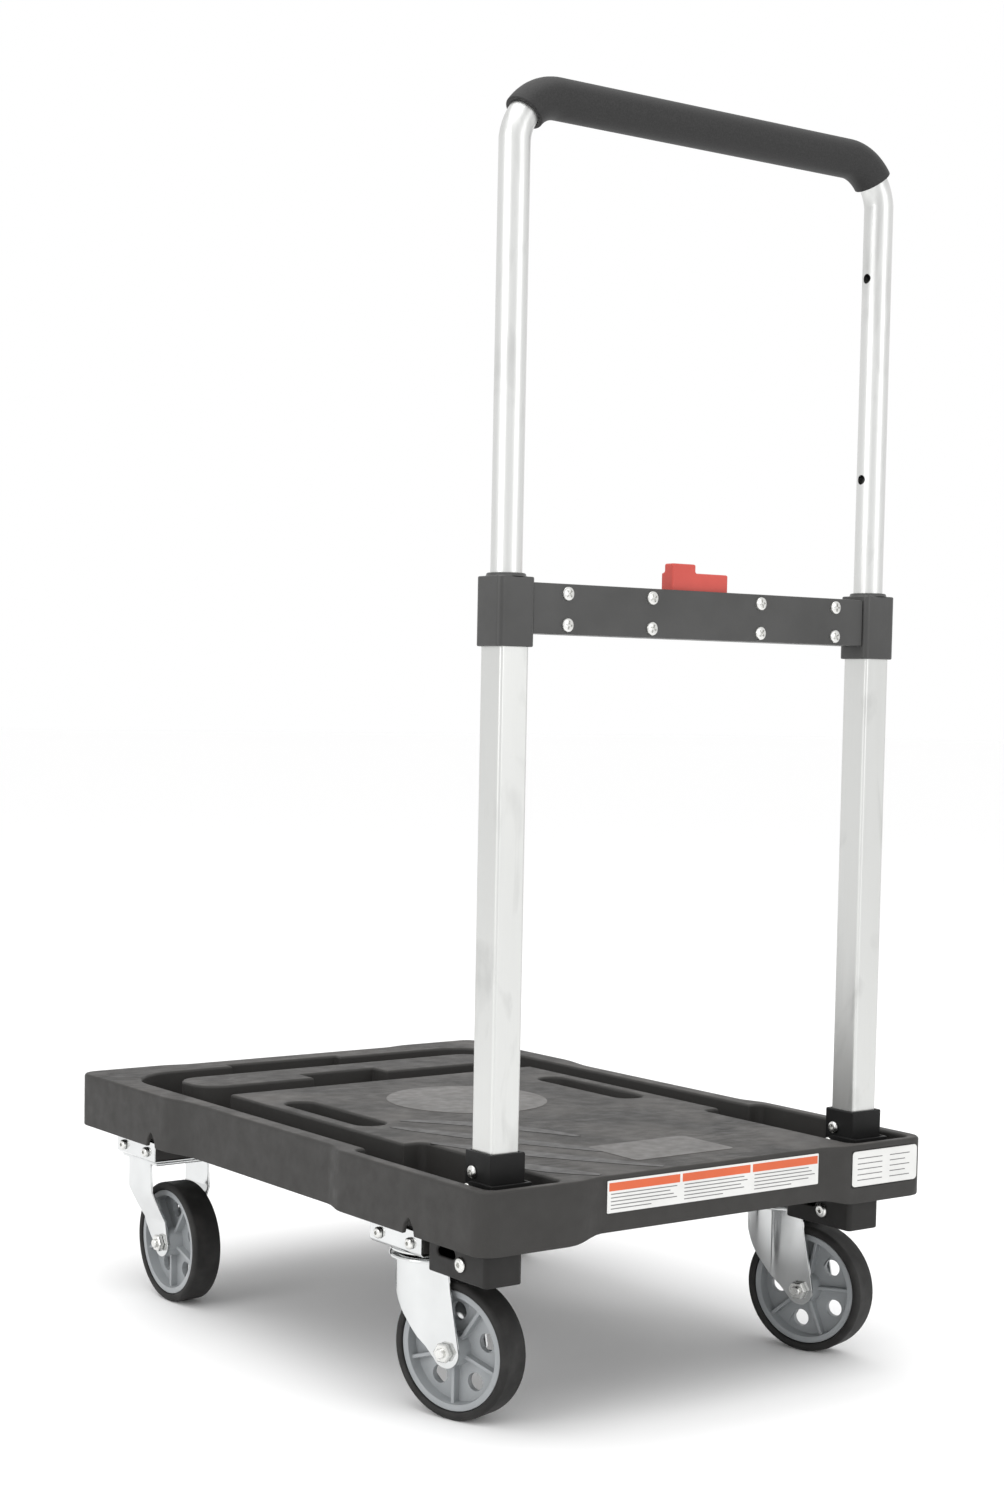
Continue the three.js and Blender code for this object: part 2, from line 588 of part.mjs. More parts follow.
// The rigid fork: a plate under the tray and two legs bent down and inwards.
function makeRigidFork() {
  const mountY = RIGID_MOUNT_Y - RIGID_AXLE_Y;
  const t = LEG_THICKNESS;
  const front = (sign) => outline([
    [sign * RIGID_HALF, RIGID_PLATE[1]], [sign * RIGID_HALF, 118], [sign * LEG_OUTER, 86],
    [sign * LEG_OUTER, 40], [sign * (LEG_OUTER - t), 40], [sign * (LEG_OUTER - t), 87],
    [sign * (RIGID_HALF - t), 119], [sign * (RIGID_HALF - t), RIGID_PLATE[1]]]);
  const side = new THREE.Shape();
  side.moveTo(-LEG_FOOT_RADIUS, WHEEL_RADIUS);
  side.absarc(0, WHEEL_RADIUS, LEG_FOOT_RADIUS, Math.PI, 1.93 * Math.PI);
  side.quadraticCurveTo(44, 84, mountY + 24, 120);
  side.lineTo(mountY + 24, RIGID_PLATE[1]);
  side.lineTo(mountY - 24, RIGID_PLATE[1]);
  side.quadraticCurveTo(mountY - 25, 108, -LEG_FOOT_RADIUS, WHEEL_RADIUS);
  const sideSolid = alongX(side, -60, 60, 4);
  const legs = [-1, 1].map((sign) => alongY(front(sign), -60, 90).intersect(sideSolid));
  const plate = box(-RIGID_HALF, RIGID_HALF, mountY - 38, mountY + 38, ...RIGID_PLATE);
  const axleHole = rodX(-40, 40, 0, WHEEL_RADIUS, AXLE_RADIUS + GAP, 16);
  return joined([plate, ...legs]).subtract(axleHole);
}

// Wheel parts are made with the axle on local x at the wheel's centre.
function lathe(profile, segments) {
  const points = profile.map(([r, x]) => new THREE.Vector2(r, x));
  const geometry = new THREE.LatheGeometry([...points, points[0]], segments);
  const turned = new THREE.Matrix4().makeRotationZ(-Math.PI / 2);
  return solidOf(geometry, turned);
}

function makeHub(ribTurn) {
  const bore = AXLE_RADIUS + GAP;
  let hub = lathe([
    [bore, -HUB_HALF], [BOSS_RADIUS, -HUB_HALF], [BOSS_RADIUS, -WEB_HALF], [RIM_INNER, -WEB_HALF],
    [RIM_INNER, -RIM_HALF], [TYRE_INNER - GAP, -RIM_HALF], [TYRE_INNER - GAP, RIM_HALF],
    [RIM_INNER, RIM_HALF], [RIM_INNER, WEB_HALF], [BOSS_RADIUS, WEB_HALF],
    [BOSS_RADIUS, HUB_HALF], [bore, HUB_HALF]], 24);
  for (let i = 0; i < WHEEL_RIBS; i += 1) {
    const step = (360 / WHEEL_RIBS) * i;
    const rib = box(-10, 10, BOSS_RADIUS - 1.5, RIM_INNER + 1.5, -1.8, 1.8);
    hub = hub.add(rib.rotate([ribTurn + step, 0, 0]));
    const hole = rodX(-20, 20, HOLE_CIRCLE, 0, HOLE_RADIUS, 8);
    hub = hub.subtract(hole.rotate([ribTurn + step + 180 / WHEEL_RIBS, 0, 0]));
  }
  return hub;
}

function makeTyre() {
  const half = TYRE_WIDTH / 2;
  return lathe([
    [TYRE_INNER, -half + 1.5], [TYRE_INNER + 1.5, -half], [59.5, -half], [62, -half + 1.5],
    [WHEEL_RADIUS, -half + 5], [WHEEL_RADIUS, half - 5], [62, half - 1.5],
    [59.5, half], [TYRE_INNER + 1.5, half], [TYRE_INNER, half - 1.5]], 32);
}

function makeAxle() {
  const end = LEG_OUTER + GAP;
  const shank = rodX(-end, end + 3, 0, 0, AXLE_RADIUS, 16);
  const nut = rodX(-end - 6, -end, 0, 0, 9, 6);
  const tip = rodX(-end - 9, -end - 5, 0, 0, 4.6, 12);
  const head = rodX(end, end + 5, 0, 0, 9, 6);
  return joined([shank, nut, tip, head]);
}

for (const { name, x, y, swivels, ribTurn } of CASTERS) {
  const caster = new THREE.Group();
  const wheel = new THREE.Group();
  caster.position.set(x, swivels ? y : RIGID_AXLE_Y, 0);
  wheel.position.set(0, swivels ? -SWIVEL_TRAIL : 0, WHEEL_RADIUS);
  if (swivels) {
    addPart(`${name}_race`, makeSwivelRace().translate([x, y, 0]), materials.zinc);
    caster.rotation.z = THREE.MathUtils.degToRad(SWIVEL_ANGLE);
  }
  const fork = swivels ? makeSwivelFork() : makeRigidFork();
  addPart(`${name}_fork`, fork, materials.zinc, caster);
  addPart(`${name}_axle`, makeAxle(), materials.steel, wheel);
  addPart(`${name}_hub`, makeHub(ribTurn), materials.hub, wheel);
  addPart(`${name}_tyre`, makeTyre(), materials.tyre, wheel);
  caster.add(wheel);
  cart.add(caster);
}

// Handle, lower half: brackets, posts, collars and crossbar.
function squareTube(x, y, half, z0, z1, radius) {
  return alongZ(roundedRect(x - half, x + half, y - half, y + half, radius), z0, z1, 1);
}

function makeBracket(x) {
  const top = BRACKET_TOP;
  const hy = BRACKET_HALF_Y;
  const side = new THREE.Shape();
  const foot = BRACKET_HALF_Y - 0.2;
  side.moveTo(PIVOT_Y - foot, PIVOT_Z);
  side.absarc(PIVOT_Y, PIVOT_Z, foot, Math.PI, 2 * Math.PI);
  side.lineTo(POST_Y + hy, PIVOT_Z + 8);
  side.lineTo(POST_Y + hy, top);
  side.lineTo(POST_Y - hy, top);
  side.lineTo(POST_Y - hy, PIVOT_Z + 8);
  const body = alongX(side, x - BRACKET_HALF_X, x + BRACKET_HALF_X, 5);
  const half = POST_SIDE / 2 + GAP;
  const socket = squareTube(x, POST_Y, half, BRACKET_SOCKET, top + 1, 2);
  const pivot = rodX(x - 40, x + 40, PIVOT_Y, PIVOT_Z, PIVOT_RADIUS + GAP, 16);
  const bolt = rodX(x - 40, x + 40, BRACKET_BOLT.y, BRACKET_BOLT.z, BRACKET_BOLT.radius + GAP, 12);
  return cutBy(body, [socket, pivot, bolt]);
}

function makePost(x) {
  const outer = squareTube(x, POST_Y, POST_SIDE / 2, BRACKET_SOCKET + GAP, POST_TOP, 3);
  const inner = squareTube(x, POST_Y, POST_SIDE / 2 - POST_WALL, BRACKET_SOCKET - 1, POST_TOP + 1, 1.8);
  const bolt = rodX(x - 40, x + 40, BRACKET_BOLT.y, BRACKET_BOLT.z, BRACKET_BOLT.radius + GAP, 12);
  const pinWay = rodX(x - 40, x + 40, POST_Y, LOCK_PIN_Z, PIN_RADIUS + 1, 16);
  return cutBy(outer, [inner, bolt, pinWay]);
}

function makeCollar(x, sign) {
  const lower = alongZ(roundedRect(x - COLLAR_HALF_X, x + COLLAR_HALF_X, POST_Y - COLLAR_HALF_Y,
    POST_Y + COLLAR_HALF_Y, COLLAR_CORNER), COLLAR_BOTTOM, COLLAR_TOP, 2);
  const socket = squareTube(x, POST_Y, POST_SIDE / 2 + GAP, COLLAR_BOTTOM - 1, POST_TOP + GAP, 2);
  const bore = rodZ(x, POST_Y, POST_TOP - 1, COLLAR_TOP + 4, TUBE_RADIUS + 0.6, 20);
  const ring = rodZ(x, POST_Y, COLLAR_TOP - 1, COLLAR_TOP + 3, TUBE_RADIUS + 3, 20);
  const ways = acrossSide(sign, POST_X - 30, POST_X);
  const pinWay = rodX(...ways, POST_Y, LOCK_PIN_Z, PIN_RADIUS + 1, 16);
  return cutBy(joined([lower, ring]), [socket, bore, pinWay]);
}

// The crossbar is two moulded halves that meet on the posts' middle plane.
function makeBarHalf(direction) {
  const face = POST_Y + direction * BAR_HALF_DEPTH;
  const split = POST_Y + direction * (GAP / 2);
  const ys = [split, face].sort((a, b) => a - b);
  const outer = box(-BAR_END, BAR_END, ...ys, BAR_BOTTOM, BAR_TOP);
  const inner = [split - direction, face - direction * BAR_SHELL].sort((a, b) => a - b);
  const ends = BAR_END - 3;
  const hollow = box(-ends, ends, ...inner, BAR_BOTTOM + BAR_SHELL, BAR_TOP - BAR_SHELL);
  const mouth = box(BUTTON_X[0] - 2 * GAP, BUTTON_X[1] + 2 * GAP, POST_Y - 8.6, POST_Y + 8.6,
    BAR_TOP - 5, BAR_TOP + 1);
  const pinWay = rodX(-230, 230, POST_Y, LOCK_PIN_Z, PIN_RADIUS + GAP, 16);
  return cutBy(outer, [hollow, mouth, pinWay]);
}

function makeButton() {
  const [x0, x1] = BUTTON_X;
  const bottom = BAR_TOP - BUTTON_TRAVEL - BUTTON_SKIRT;
  const cap = box(x0, x1, POST_Y - 8, POST_Y + 8, bottom, BUTTON_TOP);
  const lug = box(x0, x0 + LUG_LENGTH, POST_Y - 8, POST_Y + 4, BUTTON_TOP - 4, LUG_TOP);
  const flange = box(x0 - 2, x1 + 2, POST_Y - 10, POST_Y + 10, BAR_TOP - 9, BAR_TOP - BAR_SHELL - GAP);
  return joined([cap, lug, flange]);
}

function makeSpring() {
  const bottom = BAR_BOTTOM + BAR_SHELL + GAP + SPRING_WIRE;
  const top = BAR_TOP - BUTTON_TRAVEL - BUTTON_SKIRT - GAP - SPRING_WIRE;
  const steps = SPRING_TURNS * 8;
  const points = [];
  for (let i = 0; i <= steps; i += 1) {
    const a = (2 * Math.PI * SPRING_TURNS * i) / steps;
    points.push(new THREE.Vector3(SPRING_X + SPRING_RADIUS * Math.cos(a),
      POST_Y + SPRING_RADIUS * Math.sin(a), THREE.MathUtils.lerp(bottom, top, i / steps)));
  }
  const wire = new THREE.Shape();
  wire.absarc(0, 0, SPRING_WIRE, 0, 2 * Math.PI);
  const geometry = new THREE.ExtrudeGeometry(wire, {
    steps, curveSegments: 3, bevelEnabled: false, extrudePath: new THREE.CatmullRomCurve3(points) });
  return solidOf(geometry);
}

// A lock pin reaches from inside the bar to just short of the sliding tube.
const PIN_TIP = POST_X - TUBE_RADIUS - GAP;

function makeLockPin(sign) {
  const shank = rodX(...acrossSide(sign, PIN_TAIL, PIN_TIP), POST_Y, LOCK_PIN_Z, PIN_RADIUS, 14);
  const tail = rodX(...acrossSide(sign, PIN_TAIL - 4, PIN_TAIL + 2), POST_Y, LOCK_PIN_Z,
    PIN_RADIUS + 2.5, 14);
  return shank.add(tail);
}

for (const [side, sign] of SIDES) {
  const x = sign * POST_X;
  addPart(`post_bracket_${side}`, makeBracket(x), materials.bracket);
  addPart(`bracket_bolt_${side}`, boltX(x - BRACKET_HALF_X - GAP, x + BRACKET_HALF_X + GAP,
    BRACKET_BOLT.y, BRACKET_BOLT.z, BRACKET_BOLT.radius, 5, 3.2), materials.steel);
  addPart(`post_${side}`, makePost(x), materials.aluminium);
  addPart(`collar_${side}`, makeCollar(x, sign), materials.collar);
  addPart(`lock_pin_${side}`, makeLockPin(sign), materials.steel);
}
addPart("crossbar_rear_half", makeBarHalf(-1), materials.collar);
addPart("crossbar_front_half", makeBarHalf(1), materials.collar);
addPart("release_button", makeButton(), materials.button);
addPart("button_spring", makeSpring(), materials.steel);

// Handle, upper half: one bent tube, its foam grip and its guide bushes.
const QUARTER = Math.PI / 2;

// Points of the tube's centreline from the left foot over the top to the right foot.
// startAngle trims it to the stretch that the grip covers; below lengthens both feet.
function handlePath(startAngle, below = 0) {
  const inner = POST_X - TUBE_BEND;
  const straightTop = GRIP_Z - TUBE_BEND;
  const at = (x, z) => new THREE.Vector3(x, POST_Y, z);
  const points = [];
  const bend = (centreX, from, to) => {
    const steps = 6;
    for (let i = 0; i <= steps; i += 1) {
      const a = THREE.MathUtils.lerp(from, to, i / steps);
      points.push(at(centreX + TUBE_BEND * Math.cos(a), straightTop + TUBE_BEND * Math.sin(a)));
    }
  };
  if (startAngle === 0) points.push(at(-POST_X, TUBE_FOOT - below));
  bend(-inner, Math.PI - startAngle, QUARTER);
  bend(inner, QUARTER, startAngle);
  if (startAngle === 0) points.push(at(POST_X, TUBE_FOOT - below));
  return points;
}

// A tube of one radius through the path's points: a ring at each point, mitred there.
function sweep(points, radius, sides) {
  const positions = [];
  const side = new THREE.Vector3(0, 1, 0);
  const tangents = points.map((point, i) => {
    const before = points[Math.max(i - 1, 0)];
    const after = points[Math.min(i + 1, points.length - 1)];
    const into = point.clone().sub(before).normalize();
    return after.clone().sub(point).normalize().add(into).normalize();
  });
  points.forEach((point, i) => {
    const up = new THREE.Vector3().crossVectors(tangents[i], side).normalize();
    for (let k = 0; k < sides; k += 1) {
      const a = (2 * Math.PI * k) / sides;
      const p = point.clone()
        .addScaledVector(up, radius * Math.cos(a))
        .addScaledVector(side, radius * Math.sin(a));
      positions.push(p.x, p.y, p.z);
    }
  });
  const index = [];
  const rings = points.length;
  for (let i = 0; i < rings - 1; i += 1) {
    for (let k = 0; k < sides; k += 1) {
      const a = i * sides + k;
      const b = i * sides + ((k + 1) % sides);
      index.push(a, a + sides, b, b, a + sides, b + sides);
    }
  }
  for (let k = 1; k < sides - 1; k += 1) {
    const last = (rings - 1) * sides;
    index.push(0, k, k + 1);
    index.push(last, last + k + 1, last + k);
  }
  const geometry = new THREE.BufferGeometry();
  geometry.setAttribute("position", new THREE.Float32BufferAttribute(positions, 3));
  geometry.setIndex(index);
  return solidOf(geometry);
}

const GRIP_BORE = TUBE_RADIUS + GAP;

function makeHandleTube() {
  const tube = sweep(handlePath(0), TUBE_RADIUS, TUBE_SIDES);
  const bore = sweep(handlePath(0, 1), TUBE_RADIUS - TUBE_WALL, TUBE_SIDES);
  const holes = SIDES.flatMap(([, sign]) =>
    [LOCK_PIN_Z, ...LOCK_HOLES_Z].map((z) =>
      rodX(...acrossSide(sign, POST_X - 20, POST_X), POST_Y, z, PIN_RADIUS + 0.6, 12)));
  return cutBy(tube, [bore, ...holes]);
}

function makeGrip() {
  const path = handlePath(THREE.MathUtils.degToRad(GRIP_START_ANGLE));
  const outer = sweep(path, GRIP_RADIUS, TUBE_SIDES);
  const bore = sweep(handlePath(0), GRIP_BORE, TUBE_SIDES);
  return outer.subtract(bore);
}

addPart("handle_tube", makeHandleTube(), materials.aluminium);
addPart("foam_grip", makeGrip(), materials.foam);

// A guide bush closes the foot of each tube leg and slides inside the square post.
for (const [side, sign] of SIDES) {
  const x = sign * POST_X;
  const half = POST_SIDE / 2 - POST_WALL - 0.4;
  const shoe = squareTube(x, POST_Y, half, TUBE_FOOT - BUSH_HEIGHT, TUBE_FOOT - GAP, 2);
  const plug = rodZ(x, POST_Y, TUBE_FOOT - 1, TUBE_FOOT + BUSH_PLUG,
    TUBE_RADIUS - TUBE_WALL - 2 * GAP, TUBE_SIDES);
  addPart(`guide_bush_${side}`, shoe.add(plug), materials.collar);
}

export default cart;
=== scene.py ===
"""Folding platform cart: a moulded deck on four casters, with a telescoping handle that folds
into the deck. Everything is in metres, +Z up, with the handle at the -Y end."""

import math

import bmesh
import bpy
from mathutils import Matrix, Vector


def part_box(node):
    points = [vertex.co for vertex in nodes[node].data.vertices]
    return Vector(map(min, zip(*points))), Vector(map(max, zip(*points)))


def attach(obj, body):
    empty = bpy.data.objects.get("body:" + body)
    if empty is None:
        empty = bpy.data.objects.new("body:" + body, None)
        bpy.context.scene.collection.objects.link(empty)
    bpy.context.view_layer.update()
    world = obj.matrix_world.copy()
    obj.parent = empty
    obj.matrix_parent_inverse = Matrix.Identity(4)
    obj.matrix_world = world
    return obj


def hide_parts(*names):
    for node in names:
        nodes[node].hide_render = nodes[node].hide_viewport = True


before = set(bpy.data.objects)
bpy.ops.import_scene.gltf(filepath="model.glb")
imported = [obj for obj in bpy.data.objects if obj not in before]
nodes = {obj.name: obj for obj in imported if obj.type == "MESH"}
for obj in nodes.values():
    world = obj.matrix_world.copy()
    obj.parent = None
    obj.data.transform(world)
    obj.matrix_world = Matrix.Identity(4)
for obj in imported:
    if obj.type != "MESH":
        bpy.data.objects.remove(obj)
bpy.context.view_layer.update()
scene = bpy.context.scene

# ---------------------------------------------------------------------------------------------
# Studio. A pale floor that runs out of sight, a wide soft light overhead, a weaker one at the
# left and a white surrounding that the metal parts mirror.

CAMERA_PLACE = Vector((-1.4404, -1.9655, 0.6425))
CAMERA_AZIMUTH = math.radians(-35.44)
CAMERA_ELEVATION = math.radians(3.67)
CAMERA_ROLL = math.radians(1.0)
CAMERA_LENS = 56.8


def set_camera():
    bpy.ops.object.camera_add(location=CAMERA_PLACE)
    camera = bpy.context.object
    back = Vector((
        math.sin(CAMERA_AZIMUTH) * math.cos(CAMERA_ELEVATION),
        -math.cos(CAMERA_AZIMUTH) * math.cos(CAMERA_ELEVATION),
        math.sin(CAMERA_ELEVATION)))
    level = Vector((math.cos(CAMERA_AZIMUTH), math.sin(CAMERA_AZIMUTH), 0))
    upright = back.cross(level)
    right = level * math.cos(CAMERA_ROLL) + upright * math.sin(CAMERA_ROLL)
    up = upright * math.cos(CAMERA_ROLL) - level * math.sin(CAMERA_ROLL)
    camera.matrix_world = Matrix.Translation(CAMERA_PLACE) @ Matrix((right, up, back)).transposed().to_4x4()
    camera.data.sensor_width = 36
    camera.data.lens = CAMERA_LENS
    camera.data.shift_x = 0.0359
    camera.data.shift_y = 0.0701
    scene.camera = camera


def soft_light(name, place, target, width, power):
    bpy.ops.object.light_add(type="AREA", location=place)
    light = bpy.context.object
    light.name = name
    light.data.size = width
    light.data.energy = power
    light.rotation_euler = (Vector(target) - Vector(place)).to_track_quat("-Z", "Y").to_euler()


set_camera()
soft_light("overhead_light", (-0.6, -0.4, 3.2), (0, 0, 0.3), 3.0, 42)
soft_light("left_light", (-3.2, -0.6, 1.6), (0, 0, 0.5), 1.6, 22)
soft_light("front_light", (0.9, -3.4, 1.4), (0, 0, 0.5), 1.6, 14)

world = bpy.data.worlds.new("white_surround")
world.use_nodes = True
world.node_tree.nodes["Background"].inputs["Color"].default_value = (1, 1, 1, 1)
world.node_tree.nodes["Background"].inputs["Strength"].default_value = 1.0
scene.world = world
scene.view_settings.view_transform = "Standard"

bpy.ops.mesh.primitive_plane_add(size=80, location=(0, 0, 0))
floor = bpy.context.object
floor.name = "studio_floor"
floor_finish = bpy.data.materials.new("pale_floor")
floor_finish.use_nodes = True
floor_finish.node_tree.nodes["Principled BSDF"].inputs["Base Color"].default_value = (0.995, 0.995, 0.995, 1)
floor_finish.node_tree.nodes["Principled BSDF"].inputs["Roughness"].default_value = 0.9
floor_finish.node_tree.nodes["Principled BSDF"].inputs["Specular IOR Level"].default_value = 0.1
floor.data.materials.append(floor_finish)

# ---------------------------------------------------------------------------------------------
# Deck moulding. One black polypropylene moulding with a spark-eroded skin, channels for the
# folded handle and ribs below. Its rims are rounded where the tool steel was broken back.

DECK_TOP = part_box("deck")[1].z
RIM_ROUND = 0.003
EDGE_ROUND = 0.0012


def only(piece):
    """Leaves piece as the one selected and active object."""
    bpy.ops.object.select_all(action="DESELECT")
    piece.select_set(True)
    bpy.context.view_layer.objects.active = piece


def apply_all(piece):
    only(piece)
    for modifier in list(piece.modifiers):
        bpy.ops.object.modifier_apply(modifier=modifier.name)


def smooth(piece, angle=40):
    """Smooth shading that stays crisp at real edges and flat on flat faces."""
    only(piece)
    bpy.ops.object.shade_smooth_by_angle(angle=math.radians(angle))
    weighted = piece.modifiers.new("weighted", "WEIGHTED_NORMAL")
    weighted.keep_sharp = True
    apply_all(piece)


def round_edges(piece, width, segments=2, angle=32):
    """Rounds every edge sharper than angle."""
    bevel = piece.modifiers.new("round", "BEVEL")
    bevel.width = width
    bevel.segments = segments
    bevel.limit_method = "ANGLE"
    bevel.angle_limit = math.radians(angle)
    bevel.use_clamp_overlap = False
    bevel.miter_outer = "MITER_ARC"
    apply_all(piece)
    smooth(piece)


def round_rims(piece, height, width):
    """Rounds the sharp edges that lie at one height, more than the rest of the piece."""
    only(piece)
    mesh = bmesh.new()
    mesh.from_mesh(piece.data)
    rims = [edge for edge in mesh.edges if len(edge.link_faces) == 2 and edge.calc_face_angle() > 1.0
            and all(abs(vertex.co.z - height) < 0.00005 for vertex in edge.verts)]
    bmesh.ops.bevel(mesh, geom=rims, offset=width, segments=3, profile=0.5, affect="EDGES",
                    miter_outer="ARC", clamp_overlap=False)
    mesh.to_mesh(piece.data)
    mesh.free()


def welded_copy(node, name):
    """A piece of its own with the shape of a CAD node, its points merged and flat faces whole."""
    piece = bpy.data.objects.new(name, nodes[node].data.copy())
    scene.collection.objects.link(piece)
    piece.data.materials.clear()
    only(piece)
    bpy.ops.object.mode_set(mode="EDIT")
    bpy.ops.mesh.select_all(action="SELECT")
    bpy.ops.mesh.remove_doubles(threshold=0.00002)
    bpy.ops.mesh.dissolve_limited(angle_limit=math.radians(0.8))
    bpy.ops.object.mode_set(mode="OBJECT")
    return piece


def finish(name, colour, roughness, metallic=0.0, gloss=0.5):
    """A new material whose shader has these plain values to start from."""
    made = bpy.data.materials.new(name)
    made.use_nodes = True
    shader = made.node_tree.nodes["Principled BSDF"]
    shader.inputs["Base Color"].default_value = (*colour, 1)
    shader.inputs["Roughness"].default_value = roughness
    shader.inputs["Metallic"].default_value = metallic
    shader.inputs["Specular IOR Level"].default_value = gloss
    return made


def add_node(made, kind, values=None, **settings):
    new = made.node_tree.nodes.new(kind)
    for name, value in settings.items():
        setattr(new, name, value)
    for name, value in (values or {}).items():
        new.inputs[name].default_value = value
    return new


def link(made, source, target):
    made.node_tree.links.new(source, target)


def noise(made, scale, detail=3.0, stretch=(1, 1, 1), distortion=0.0):
    """Noise over the piece, about scale spots to the metre."""
    place = add_node(made, "ShaderNodeTexCoord")
    spread = add_node(made, "ShaderNodeMapping", {"Scale": stretch})
    pattern = add_node(made, "ShaderNodeTexNoise", {
        "Scale": scale, "Detail": detail, "Distortion": distortion})
    link(made, place.outputs["Object"], spread.inputs["Vector"])
    link(made, spread.outputs["Vector"], pattern.inputs["Vector"])
    return pattern.outputs["Fac"]


def remap(made, source, low, high, to_low=0.0, to_high=1.0):
    ramp = add_node(made, "ShaderNodeMapRange", {
        "From Min": low, "From Max": high, "To Min": to_low, "To Max": to_high})
    link(made, source, ramp.inputs["Value"])
    return ramp.outputs["Result"]


def times(made, first, second):
    product = add_node(made, "ShaderNodeMath", operation="MULTIPLY")
    link(made, first, product.inputs[0])
    link(made, second, product.inputs[1])
    return product.outputs[0]


def colour_by(made, factor, first, second):
    """Colours the surface from first to second as factor goes from 0 to 1; either may be an output."""
    mix = add_node(made, "ShaderNodeMix", data_type="RGBA")
    link(made, factor, mix.inputs[0])
    for socket, colour in ((mix.inputs[6], first), (mix.inputs[7], second)):
        if isinstance(colour, tuple):
            socket.default_value = (*colour, 1)
        else:
            link(made, colour, socket)
    link(made, mix.outputs[2], made.node_tree.nodes["Principled BSDF"].inputs["Base Color"])
    return mix.outputs[2]


def roughness_by(made, factor, low, high):
    result = remap(made, factor, 0.3, 0.7, low, high)
    link(made, result, made.node_tree.nodes["Principled BSDF"].inputs["Roughness"])


def raise_by(made, *layers):
    """Relief from one or more (height output, distance in metres) layers."""
    normal = None
    for height, distance in layers:
        bump = add_node(made, "ShaderNodeBump", {"Strength": 1.0, "Distance": distance})
        link(made, height, bump.inputs["Height"])
        if normal:
            link(made, normal, bump.inputs["Normal"])
        normal = bump.outputs["Normal"]
    link(made, normal, made.node_tree.nodes["Principled BSDF"].inputs["Normal"])


def facing_up(made):
    """1 on faces that point up, 0 on walls."""
    geometry = add_node(made, "ShaderNodeNewGeometry")
    split = add_node(made, "ShaderNodeSeparateXYZ")
    link(made, geometry.outputs["Normal"], split.inputs["Vector"])
    return remap(made, split.outputs["Z"], 0.75, 0.95)


def deck_finish():
    """Black polypropylene: fine grain all over, scuffed and with a swirled tread on top faces."""
    made = finish("deck_polypropylene", (0.05, 0.048, 0.045), 0.55, gloss=0.3)
    place = add_node(made, "ShaderNodeTexCoord")
    wave = add_node(made, "ShaderNodeTexWave", {
        "Scale": 26.0, "Distortion": 9.0, "Detail": 2.0, "Detail Scale": 1.4}, wave_type="RINGS")
    link(made, place.outputs["Object"], wave.inputs["Vector"])
    top = facing_up(made)
    patches = remap(made, noise(made, 9.0, 2.0), 0.42, 0.62)
    tread = times(made, times(made, wave.outputs["Fac"], patches), top)
    scuffs = remap(made, noise(made, 14.0, 6.0, (1, 1, 1), 0.6), 0.35, 0.75)
    dusty = times(made, scuffs, top)
    body = colour_by(made, dusty, (0.031, 0.0297, 0.028), (0.083, 0.078, 0.073))
    colour_by(made, remap(made, tread, 0.0, 1.0, 0.0, 0.35), body, (0.026, 0.025, 0.024))
    roughness_by(made, noise(made, 60.0, 4.0), 0.5, 0.66)
    raise_by(made, (noise(made, 1500.0, 2.0), 0.00016), (tread, 0.0004), (noise(made, 45.0, 3.0), 0.0003))
    return made


def fit(piece, made, body, slot, *stands_for):
    """Gives piece its finish, hides the CAD nodes it stands for, and attaches it to the body it rides on. The slot
    is not used.
    """
    piece.data.materials.clear()
    piece.data.materials.append(made)
    if stands_for:
        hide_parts(*stands_for)
    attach(piece, body)


deck_plastic = deck_finish()
deck = welded_copy("deck", "deck_moulding")
round_rims(deck, DECK_TOP, RIM_ROUND)
round_edges(deck, EDGE_ROUND)
fit(deck, deck_plastic, "base", "deck_plastic", "deck")

# ---------------------------------------------------------------------------------------------
# Deck markings. Low moulded pads on the panel: a smooth round boss in the middle, a smooth
# rectangle near the handle, and tapered tread stripes that curve away from the boss.

PAD_HEIGHT = 0.0005
PAD_SINK = 0.0008
BOSS_CENTRE = (0.0, 0.017)
BOSS_RADIUS = 0.084
STRIPES = (
    ((-0.131, -0.052), (-0.070, -0.120), (-0.030, -0.208)),
    ((-0.158, -0.078), (-0.108, -0.180), (-0.038, -0.306)),
    ((-0.172, -0.165), (-0.124, -0.255), (-0.056, -0.363)),
    ((-0.172, -0.262), (-0.160, -0.312), (-0.130, -0.364)),
)
STRIPE_HALF_WIDTH = 0.0115


def plate(name, outline, low, high):
    """A flat plate with this outline in the XY plane, between two heights."""
    bpy.ops.object.select_all(action="DESELECT")
    bpy.ops.mesh.primitive_circle_add(vertices=len(outline), radius=1, fill_type="NGON")
    piece = bpy.context.object
    piece.name = name
    for vertex, (x, y) in zip(piece.data.vertices, outline):
        vertex.co = (x, y, low)
    bpy.ops.object.mode_set(mode="EDIT")
    bpy.ops.mesh.select_all(action="SELECT")
    bpy.ops.mesh.extrude_region_move(TRANSFORM_OT_translate={"value": (0, 0, high - low)})
    bpy.ops.mesh.select_all(action="SELECT")
    bpy.ops.mesh.normals_make_consistent(inside=False)
    bpy.ops.object.mode_set(mode="OBJECT")
    return piece


def arc(x, y, radius, start, end, steps):
    """Points round a centre, with the angles in degrees."""
    return [(x + radius * math.cos(math.radians(start + (end - start) * i / steps)),
             y + radius * math.sin(math.radians(start + (end - start) * i / steps)))
            for i in range(steps + 1)]


